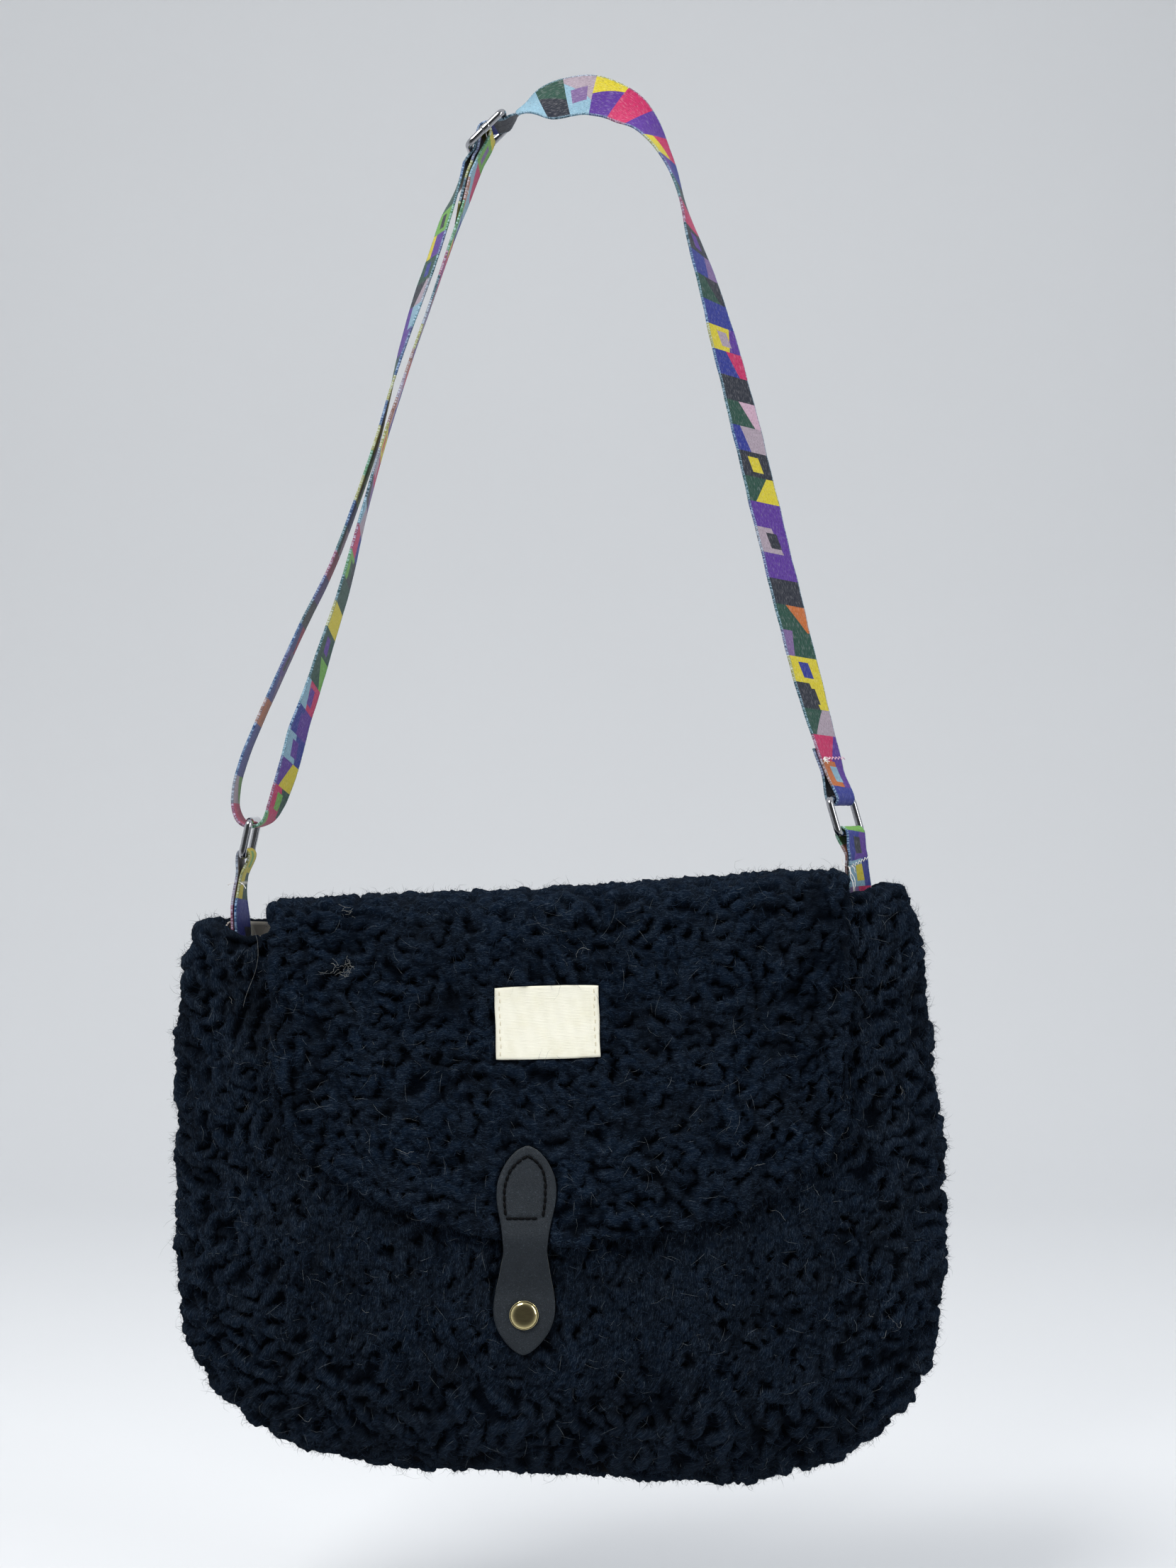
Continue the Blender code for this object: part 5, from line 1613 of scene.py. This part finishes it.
def slider_wire():
    p, f = wire_loop(SLIDER, SLIDER_WIDE, SLIDER_HIGH, RING_CORNER)
    ob = carried(build("slider_wire", p, f, NICKEL), ["slider"])
    path = np.array([SLIDER.at(0, 0, a) for a in np.linspace(-SLIDER_WIDE / 2, SLIDER_WIDE / 2, 21)])
    bar = threads("slider_bar", [path], BAR / 2, NICKEL, sides=20, taper=1.0)
    carried(bar)
    # small rolled ends where the bar grips the side wires
    grips = []
    for end in (-1, 1):
        grips.append(np.array([SLIDER.at(0, u, end * SLIDER_WIDE / 2) for u in np.linspace(-2.4, 2.4, 9)]))
    carried(threads("slider_bar_ends", grips, WIRE / 2 + 0.28, NICKEL, sides=20, taper=0.8))
    return ob


slider_wire()

# ------------------------------------------------------------------ webbing


def facing(lean_x, lean_z):
    return np.array([lean_x, math.sqrt(max(0.0, 1 - lean_x**2 - lean_z**2)), lean_z])


def through(rows, each):
    """Stations on a smooth curve through (centre, width direction, half width), `each` to a span."""
    value = np.array([[*c, *w, h] for c, w, h in rows], float)
    step = np.linalg.norm(np.diff(value[:, :3], axis=0), axis=1)
    key = np.concatenate([[0], np.cumsum(step)])
    slope = np.zeros_like(value)
    for i in range(len(key)):
        a, b = max(0, i - 1), min(len(key) - 1, i + 1)
        if 0 < i < len(key) - 1:
            before = (value[i] - value[a]) / (key[i] - key[a])
            after = (value[b] - value[i]) / (key[b] - key[i])
            share = (key[i] - key[a]) / (key[b] - key[a])
            slope[i] = before * (1 - share) + after * share
        else:
            slope[i] = (value[b] - value[a]) / (key[b] - key[a])
    out = []
    for i in range(len(key) - 1):
        h = key[i + 1] - key[i]
        twist = math.degrees(math.acos(min(1.0, float(unit(value[i, 3:6]) @ unit(value[i + 1, 3:6])))))
        count = max(1, min(each, round(h / 4.0)), round(twist / 7.0))
        for k in range(count):
            s = k / count
            a, b = 2 * s**3 - 3 * s**2 + 1, s**3 - 2 * s**2 + s
            c, d = -2 * s**3 + 3 * s**2, s**3 - s**2
            v = a * value[i] + b * h * slope[i] + c * value[i + 1] + d * h * slope[i + 1]
            out.append((v[:3], unit(v[3:6]), v[6]))
    out.append((value[-1, :3], unit(value[-1, 3:6]), value[-1, 6]))
    return out


W = WEB_WIDE / 2
BUNCHED = 11.4
LAID = (WEB_THICK + 0.5) / 2

RIGHT_RUN = [
    dict(x=116.5, y=-60, z=-332, lean_x=0.60, lean_z=0.05),
    dict(x=110.0, y=-55, z=-306, lean_x=0.64, lean_z=0.05),
    dict(x=101.5, y=-48, z=-269, lean_x=0.66, lean_z=0.05),
    dict(x=92.0, y=-40, z=-227, lean_x=0.67, lean_z=0.05),
    dict(x=79.5, y=-30, z=-171, lean_x=0.65, lean_z=0.05),
    dict(x=71.0, y=-24, z=-136, lean_x=0.60, lean_z=0.05),
    dict(x=62.0, y=-18, z=-101, lean_x=0.45, lean_z=0.08),
    dict(x=56.0, y=-14, z=-81, lean_x=0.32, lean_z=0.10),
    dict(x=49.5, y=-10, z=-58, lean_x=0.14, lean_z=0.06),
    dict(x=42.0, y=-6, z=-36, lean_x=0.27, lean_z=0.15),
    dict(x=36.0, y=-4, z=-24.5, lean_x=0.38, lean_z=0.28),
    dict(x=29.5, y=-2.6, z=-15, lean_x=0.48, lean_z=0.48),
    dict(x=21.0, y=-1.3, z=-7.5, lean_x=0.48, lean_z=0.73),
    dict(x=12.0, y=-0.6, z=-2.6, lean_x=0.28, lean_z=0.90),
]
LEFT_SHOULDER = [
    dict(x=-13.0, y=-0.8, z=-1.5, lean_x=-0.28, lean_z=0.88),
    dict(x=-24.0, y=-1.6, z=-5.6, lean_x=-0.36, lean_z=0.76),
    dict(x=-31.0, y=-2.6, z=-8.6, lean_x=-0.30, lean_z=0.45),
]
OUTER_RUN = [
    dict(x=-74.0, y=-10.6, z=-61, lean_x=-0.25, lean_z=0.0),
    dict(x=-82.0, y=-15, z=-87, lean_x=-0.32, lean_z=0.0),
    dict(x=-90.0, y=-20, z=-112, lean_x=-0.32, lean_z=0.0),
    dict(x=-97.8, y=-24.5, z=-138, lean_x=-0.22, lean_z=0.0),
    dict(x=-104.5, y=-29, z=-164, lean_x=-0.10, lean_z=0.0),
    dict(x=-111.0, y=-33.5, z=-190, lean_x=-0.04, lean_z=0.0),
    dict(x=-120.0, y=-39, z=-219, lean_x=-0.03, lean_z=0.0),
    dict(x=-136.0, y=-47, z=-263, lean_x=-0.02, lean_z=0.0),
    dict(x=-147.0, y=-51, z=-286, lean_x=0.0, lean_z=0.0),
    dict(x=-160.0, y=-57, z=-316, lean_x=0.0, lean_z=0.0),
    dict(x=-170.5, y=-61.5, z=-341, lean_x=0.0, lean_z=0.0),
    dict(x=-176.5, y=-64.5, z=-357, lean_x=0.0, lean_z=0.0),
    dict(x=-180.3, y=-66.8, z=-373, lean_x=0.0, lean_z=0.0),
    dict(x=-180.2, y=-68, z=-383, lean_x=0.0, lean_z=0.0),
    dict(x=-177.2, y=-68, z=-389.3, lean_x=0.02, lean_z=0.0),
]
INNER_RUN = [
    dict(x=-164.6, y=-68, z=-389.0, lean_x=0.10, lean_z=0.0),
    dict(x=-160.6, y=-67.5, z=-382, lean_x=0.20, lean_z=0.0),
    dict(x=-157.0, y=-66.5, z=-372, lean_x=0.28, lean_z=0.0),
    dict(x=-153.4, y=-64.8, z=-360, lean_x=0.29, lean_z=0.0),
    dict(x=-149.0, y=-61.7, z=-342, lean_x=0.27, lean_z=0.0),
    dict(x=-143.5, y=-58.4, z=-325, lean_x=0.22, lean_z=0.0),
    dict(x=-135.5, y=-53.4, z=-298, lean_x=0.15, lean_z=0.0),
    dict(x=-128.0, y=-48.9, z=-273, lean_x=0.10, lean_z=0.0),
    dict(x=-115.8, y=-39.3, z=-222, lean_x=-0.02, lean_z=0.0),
    dict(x=-108.0, y=-34, z=-192, lean_x=-0.04, lean_z=0.0),
    dict(x=-99.8, y=-29, z=-165, lean_x=-0.08, lean_z=0.0),
    dict(x=-92.0, y=-24.6, z=-140, lean_x=-0.10, lean_z=0.0),
    dict(x=-83.7, y=-20.4, z=-115, lean_x=-0.10, lean_z=0.0),
    dict(x=-75.8, y=-15.9, z=-90, lean_x=-0.08, lean_z=0.0),
    dict(x=-68.3, y=-11.6, z=-67, lean_x=-0.05, lean_z=0.0),
]


def run(table):
    return [((r["x"], r["y"], r["z"]), facing(r["lean_x"], r["lean_z"]), W) for r in table]


def turn(frame_, up, radius, start, end, steps):
    out = []
    for k in range(steps + 1):
        a = math.radians(start + (end - start) * k / steps)
        out.append((frame_.at(radius * math.cos(a), up + radius * math.sin(a)), frame_.across, BUNCHED))
    return out


def ends_meet(frame_, up, sign, side, reach, steps=4):
    out = []
    for k in range(1, steps + 1):
        s = k / steps
        flare = BAR_TURN + (LAID - BAR_TURN) * (3 * s**2 - 2 * s**3)
        out.append((frame_.at(side * flare, up + sign * reach * s), frame_.across, BUNCHED + 0.6 * s))
    return out


END_TURN = BAR / 2 + GAP + WEB_THICK / 2
OVER_TURN = END_TURN + WEB_THICK + GAP


def slider_pass():
    far = SLIDER_HIGH / 2
    slope = math.asin((BAR_TURN + OVER_TURN) / far)
    leave = math.degrees(slope)

    def at(out, up):
        return (SLIDER.at(out, up), SLIDER.across, BUNCHED + 0.1)

    stations = [
        (SLIDER.at(-BAR_TURN - 1.0, far + 9), facing(-0.16, 0.26), W - 0.4),
        (SLIDER.at(-BAR_TURN - 0.15, far + 4), facing(-0.02, 0.06), BUNCHED + 0.3),
    ]
    stations += turn(SLIDER, far, BAR_TURN, 180, 180 + leave, 2)
    stations += turn(SLIDER, 0, OVER_TURN, leave, -leave, 4)
    stations += turn(SLIDER, -far, BAR_TURN, 180 - leave, 180, 2)
    stations += [at(-BAR_TURN - 0.35, -far - 4), at(-BAR_TURN - 1.6, -far - 9)]
    return stations


def beside(stations, away):
    at_ = np.array([s_[0] for s_ in stations], float)
    tangent = np.gradient(at_, axis=0)
    return [(p + unit(np.cross(w, t)) * away, w, h) for p, t, (_, w, h) in zip(at_, tangent, stations)]


def strap_path():
    high = RING_HIGH / 2
    front = ends_meet(RIGHT, high, 1, 1, 14)
    crown = ((0.0, -WEB_THICK / 2 * 0.96, WEB_THICK / 2 * 0.28), facing(0.0, 0.96), W)
    over = slider_pass()
    long_run = through([front[-1]] + run(RIGHT_RUN) + [crown] + run(LEFT_SHOULDER) + [over[0]], 5)
    path = beside(long_run[:3], -2 * LAID)[::-1]
    path += ends_meet(RIGHT, high, 1, -1, 14)[:-1][::-1]
    path += turn(RIGHT, high, BAR_TURN, 180, 360, 8)
    path += front[:-1] + long_run[:-1] + over
    bottom = (LEFT.at(0.0, high - BAR_TURN - 0.25), LEFT.across, BUNCHED)
    back = [
        (SLIDER.at(-10.6, -21.0), SLIDER.across, W),
        (SLIDER.at(-7.3, -13.3), SLIDER.across, BUNCHED),
    ]
    down = [path[-1]] + run(OUTER_RUN) + [bottom] + run(INNER_RUN) + back
    path = path[:-1] + through(down, 5)
    slope = math.degrees(math.asin((BAR_TURN + OVER_TURN) / (SLIDER_HIGH / 2)))
    path += turn(SLIDER, 0, END_TURN, 160, -slope, 9)
    path += turn(SLIDER, -SLIDER_HIGH / 2, BAR_TURN + WEB_THICK + GAP, 180 - slope, 180, 2)
    inner = through(down[-4:], 5)[::-1]
    tail = beside(inner[1:8], 2 * LAID)
    return path + tail, tail, long_run


RIGHT_TAB = [
    dict(x=136.6, y=-69.4, z=-414.0, lean=0.52, half=11.6),
    dict(x=137.2, y=-68.6, z=-422.0, lean=0.55, half=12.2),
    dict(x=137.6, y=-68.2, z=-431.0, lean=0.56, half=12.5),
    dict(x=137.6, y=-68.0, z=-448.0, lean=0.54, half=12.5),
]
LEFT_TAB = [
    dict(x=-178.2, y=-68.0, z=-423.5, lean=0.06, half=10.8),
    dict(x=-178.6, y=-68.0, z=-431.0, lean=0.12, half=11.6),
    dict(x=-178.0, y=-68.0, z=-440.0, lean=0.16, half=12.2),
    dict(x=-176.8, y=-68.0, z=-456.0, lean=0.14, half=12.2),
]
TAB_MEET = 11.0


def loop_path(frame_, table):
    low = -RING_HIGH / 2
    middle = [((r["x"], r["y"], r["z"]), facing(r["lean"], 0.0), r["half"]) for r in table]
    top = (frame_.at(0.0, low - TAB_MEET), frame_.across, BUNCHED)
    middle = through([top] + middle, 3)
    layers = []
    for side in (1, -1):
        layer = []
        for i, (p, w, h) in enumerate(middle):
            a, b = middle[max(0, i - 1)][0], middle[min(len(middle) - 1, i + 1)][0]
            out = unit(np.cross(w, np.array(a) - np.array(b)))
            layer.append((np.array(p) + out * side * LAID, w, h))
        layers.append(ends_meet(frame_, low, -1, side, TAB_MEET)[:-1] + layer)
    return layers[0][::-1] + turn(frame_, low, BAR_TURN, 0, 180, 8) + layers[1], middle


SHEET = 1.12  # thickness of the webbing as it shows


def webbing(name, stations, mat, node, block=36.0, start=0.0):
    """A close-meshed band with rounded selvages through the CAD's stations."""
    value = np.array([[*c, *unit(w), h] for c, w, h in stations], float)
    key = np.concatenate([[0], np.cumsum(np.linalg.norm(np.diff(value[:, :3], axis=0), axis=1))])
    slope = np.gradient(value, key, axis=0)
    out = []
    for i in range(len(key) - 1):
        h = key[i + 1] - key[i]
        count = max(1, math.ceil(h / 1.9))
        for k in range(count):
            q = k / count
            a, b = 2 * q**3 - 3 * q**2 + 1, q**3 - 2 * q**2 + q
            c, d = -2 * q**3 + 3 * q**2, q**3 - q**2
            out.append(np.append(a * value[i] + b * h * slope[i] + c * value[i + 1] + d * h * slope[i + 1], key[i] + h * q))
    out.append(np.append(value[-1], key[-1]))
    out = np.array(out)
    centre, wide, half, along = out[:, :3], units(out[:, 3:6]), out[:, 6], out[:, 7]
    t = units(np.gradient(centre, axis=0))
    wide = units(wide - t * (wide * t).sum(-1, keepdims=True))
    face = np.cross(t, wide)
    across = np.array([-0.985, -0.95, -0.90, -0.7, -0.45, -0.2, 0.0, 0.2, 0.45, 0.7, 0.90, 0.95, 0.985])
    lift = np.array([0.42, 0.62, 0.50, 0.5, 0.5, 0.5, 0.5, 0.5, 0.5, 0.5, 0.50, 0.62, 0.42])
    edge = np.array([1.0])
    around = np.concatenate([across, edge, across[::-1], -edge])
    high = np.concatenate([lift, [0.0], -lift[::-1], [0.0]]) * SHEET
    # the selvages wander a little, and the band ripples where it is bunched
    wander = 0.22 * np.sin(along / 7.3) + 0.16 * np.sin(along / 3.1 + 1.0)
    pinch = smooth_step(12.45, 11.6, half)
    ripple = 0.10 * pinch[:, None] * np.cos(around[None] * 9.0)
    reach = (half - 0.15)[:, None] * around[None] + (wander[:, None] * np.sign(around)[None] * (np.abs(around) > 0.6)[None])
    points = centre[:, None] + wide[:, None] * reach[..., None] + face[:, None] * (high[None] + ripple)[..., None]
    rows, cols = points.shape[:2]
    quads = grid_quads(rows, cols, closed=True)
    k = np.arange(1, cols - 1)
    caps = np.concatenate(
        [
            np.stack([np.zeros_like(k), k, k + 1], -1),
            np.stack([np.zeros_like(k), k + 1, k], -1) + (rows - 1) * cols,
        ]
    )
    flat = points.reshape(-1, 3)
    faces = outward(flat, [quads, caps])
    u = np.broadcast_to((around[None] + 1) / 2, (rows, cols))
    v = np.broadcast_to((along / block + start)[:, None], (rows, cols))
    ob = build(name, flat, faces, mat, uv=np.stack([u, v], -1).reshape(-1, 2))
    print(name, "length", round(float(along[-1]), 1))
    return carried(ob, [node]), float(along[-1])


path, tail, long_run = strap_path()
strap, strap_long = webbing("strap_webbing", path, PRINT, "strap")
right_path, right_middle = loop_path(RIGHT, RIGHT_TAB)
left_path, left_middle = loop_path(LEFT, LEFT_TAB)
right_tab, right_long = webbing("right_loop_webbing", right_path, PRINT_TABS, "tab_right", start=3.2)
left_tab, left_long = webbing("left_loop_webbing", left_path, PRINT_TABS, "tab_left", start=11.4)


def tack(centre, wide, along_way, out, half, rows, off, seed, number=11, tail=0.0):
    """A bar tack: close zigzag stitches across a band, on its face."""
    r_ = np.random.default_rng(seed)
    paths = []
    for side in (1, -1):
        for k in range(number):
            a0 = -half + 2 * half * k / number
            a1 = a0 + 2 * half / number * 1.5
            s0, s1 = (-rows, rows) if k % 2 else (rows, -rows)
            pts = []
            for m in range(6):
                s_ = m / 5
                p = centre + wide * (a0 + (a1 - a0) * s_) + along_way * (s0 + (s1 - s0) * s_)
                p = p + out * side * (off + 0.22 * math.sin(math.pi * s_) + 0.03 * r_.normal())
                pts.append(p)
            paths.append(pts)
    return paths


def band_frame(stations, i):
    a, b = np.array(stations[max(0, i - 1)][0]), np.array(stations[min(len(stations) - 1, i + 1)][0])
    t = unit(b - a)
    w = unit(np.array(stations[i][1]) - t * (np.array(stations[i][1]) @ t))
    return np.array(stations[i][0], float), w, t, np.cross(t, w)


white, pink = [], []
c, w, t, o = band_frame(right_middle, 1)
white += tack(c, w, t, o, 10.2, 0.9, LAID + SHEET / 2 + 0.06, 51)
c, w, t, o = band_frame(left_middle, 1)
white += tack(c, w, t, o, 9.6, 0.9, LAID + SHEET / 2 + 0.06, 52)
# where the strap's own ends are sewn down
first = ends_meet(RIGHT, RING_HIGH / 2, 1, 1, 14)
c, w, t, o = band_frame(long_run, 1)
pink += tack(c - o * LAID, w, t, o, 10.6, 0.8, LAID + SHEET / 2 + 0.06, 53)
c, w, t, o = band_frame(tail, 4)
white += tack(c + o * 0.0, w, t, o, 10.4, 0.8, SHEET / 2 + 0.08, 54)


def loose(start, way, droop, length, seed, steps=16, curl=0.22):
    """A loose thread end that hangs and wanders."""
    r_ = np.random.default_rng(seed)
    p, d, out = np.array(start, float), unit(way), []
    for k in range(steps + 1):
        out.append(p.copy())
        d = unit(d + r_.normal(0, curl, 3) + np.array([0, 0, -droop]))
        p = p + d * length / steps
    return out


c, w, t, o = band_frame(right_middle, 1)
front = -w if w[1] > 0 else w
edge_of = c + front * 11.0
white += [
    loose(edge_of + np.array([0, -0.8, 0.3]), (0.5, -0.6, -0.4), 0.42, 21.0, 61, curl=0.16),
    loose(edge_of + np.array([1.0, -0.9, 0.0]), (0.3, -0.5, -0.8), 0.35, 19.0, 62, curl=0.2),
    loose(edge_of + np.array([-1.0, -0.6, 0.4]), (-0.9, -0.3, 0.35), 0.05, 6.5, 63),
    loose(edge_of + np.array([1.6, -0.6, 0.4]), (1.0, -0.3, 0.2), 0.12, 5.0, 64),
]
c, w, t, o = band_frame(left_middle, 1)
front = -w if w[1] > 0 else w
edge_of = c + front * 10.4
white += [
    loose(edge_of + np.array([-1.2, -0.5, 0.2]), (-1.0, -0.2, 0.15), 0.10, 5.5, 65),
    loose(edge_of + np.array([1.2, -0.5, 0.2]), (1.0, -0.2, 0.25), 0.10, 5.0, 66),
]
c, w, t, o = band_frame(long_run, 1)
front = -w if w[1] > 0 else w
for k in range(7):
    white.append(loose(c + front * 11.4 + np.array([1.0, -0.5, 0.1 * k]), (0.8, -0.2, 0.5 - 0.2 * k), 0.05, 4.0, 70 + k, curl=0.4))
c, w, t, o = band_frame(tail, 4)
front = -w if w[1] > 0 else w
white.append(loose(c + front * 11.8, (0.7, -0.3, -0.2), 0.2, 5.0, 81))

tacks_white = carried(threads("white_bar_tacks", white, 0.21, WHITE_THREAD, sides=5))
tacks_pink = carried(threads("pink_bar_tack", pink, 0.23, PINK_THREAD, sides=5))

# ------------------------------------------------------------------ floor, light and camera

sweep = []
for k in range(41):
    s_ = k / 40
    if s_ < 0.5:
        sweep.append((-4.0 + 5.4 * s_ / 0.5, 0.0))
    elif s_ < 0.75:
        a = (s_ - 0.5) / 0.25 * math.pi / 2
        sweep.append((1.4 + 0.9 * math.sin(a), 0.9 * (1 - math.cos(a))))
    else:
        sweep.append((2.3, 0.9 + 3.2 * (s_ - 0.75) / 0.25))
g = np.array([[(x * 1000, y * 1000, z * 1000 - 830) for y, z in sweep] for x in np.linspace(-4, 4, 9)])
floor_ob = build("floor", g.reshape(-1, 3), grid_quads(9, 41)[:, ::-1], plain("pale_floor", (0.665, 0.68, 0.70)))
floor_ob.visible_glossy = False


def area(name, at, aim, size, power, colour):
    light = bpy.data.lights.new(name, "AREA")
    light.shape = "RECTANGLE"
    light.size, light.size_y = size
    light.energy = power
    light.color = colour
    ob = bpy.data.objects.new(name, light)
    bpy.context.scene.collection.objects.link(ob)
    ob.location = at
    ob.rotation_euler = (Vector(aim) - Vector(at)).to_track_quat("-Z", "Y").to_euler()
    return ob


area("key", (-0.95, -1.55, 1.55), (0, -0.05, -0.45), (1.0, 0.8), 62, (1.0, 0.985, 0.96))
area("fill", (1.9, -1.3, 0.2), (0, -0.05, -0.4), (0.45, 1.8), 19, (0.96, 0.98, 1.0))
area("top", (0.1, -0.3, 1.6), (0, -0.05, -0.4), (1.8, 1.4), 26, (1.0, 0.99, 0.97)).visible_glossy = False

world = bpy.data.worlds.new("studio")
world.use_nodes = True
# the room before the bag is darker than the sides and the ceiling, as polished metal shows
tree = world.node_tree
way = tree.nodes.new("ShaderNodeSeparateXYZ")
tree.links.new(tree.nodes.new("ShaderNodeTexCoord").outputs["Generated"], way.inputs[0])
dim = tree.nodes.new("ShaderNodeMapRange")
dim.interpolation_type = "SMOOTHSTEP"
for key, value in (("From Min", -0.95), ("From Max", -0.15), ("To Min", 0.07), ("To Max", 0.72)):
    dim.inputs[key].default_value = value
tree.links.new(way.outputs["Y"], dim.inputs["Value"])
tree.links.new(dim.outputs["Result"], tree.nodes["Background"].inputs["Strength"])
tree.nodes["Background"].inputs["Color"].default_value = (0.90, 0.94, 1.0, 1)
bpy.context.scene.world = world
bpy.context.scene.view_settings.view_transform = "Standard"

cam = bpy.data.cameras.new("camera")
cam.sensor_fit = "VERTICAL"
cam.sensor_height = 36.0
cam.sensor_width = 27.0
cam.lens = 58.1
cam.clip_start, cam.clip_end = 0.05, 30.0
cam_ob = bpy.data.objects.new("camera", cam)
bpy.context.scene.collection.objects.link(cam_ob)
cam_ob.location = (-0.0006, -1.360, -0.370)
cam_ob.rotation_euler = (math.pi / 2, 0, 0)
bpy.context.scene.camera = cam_ob
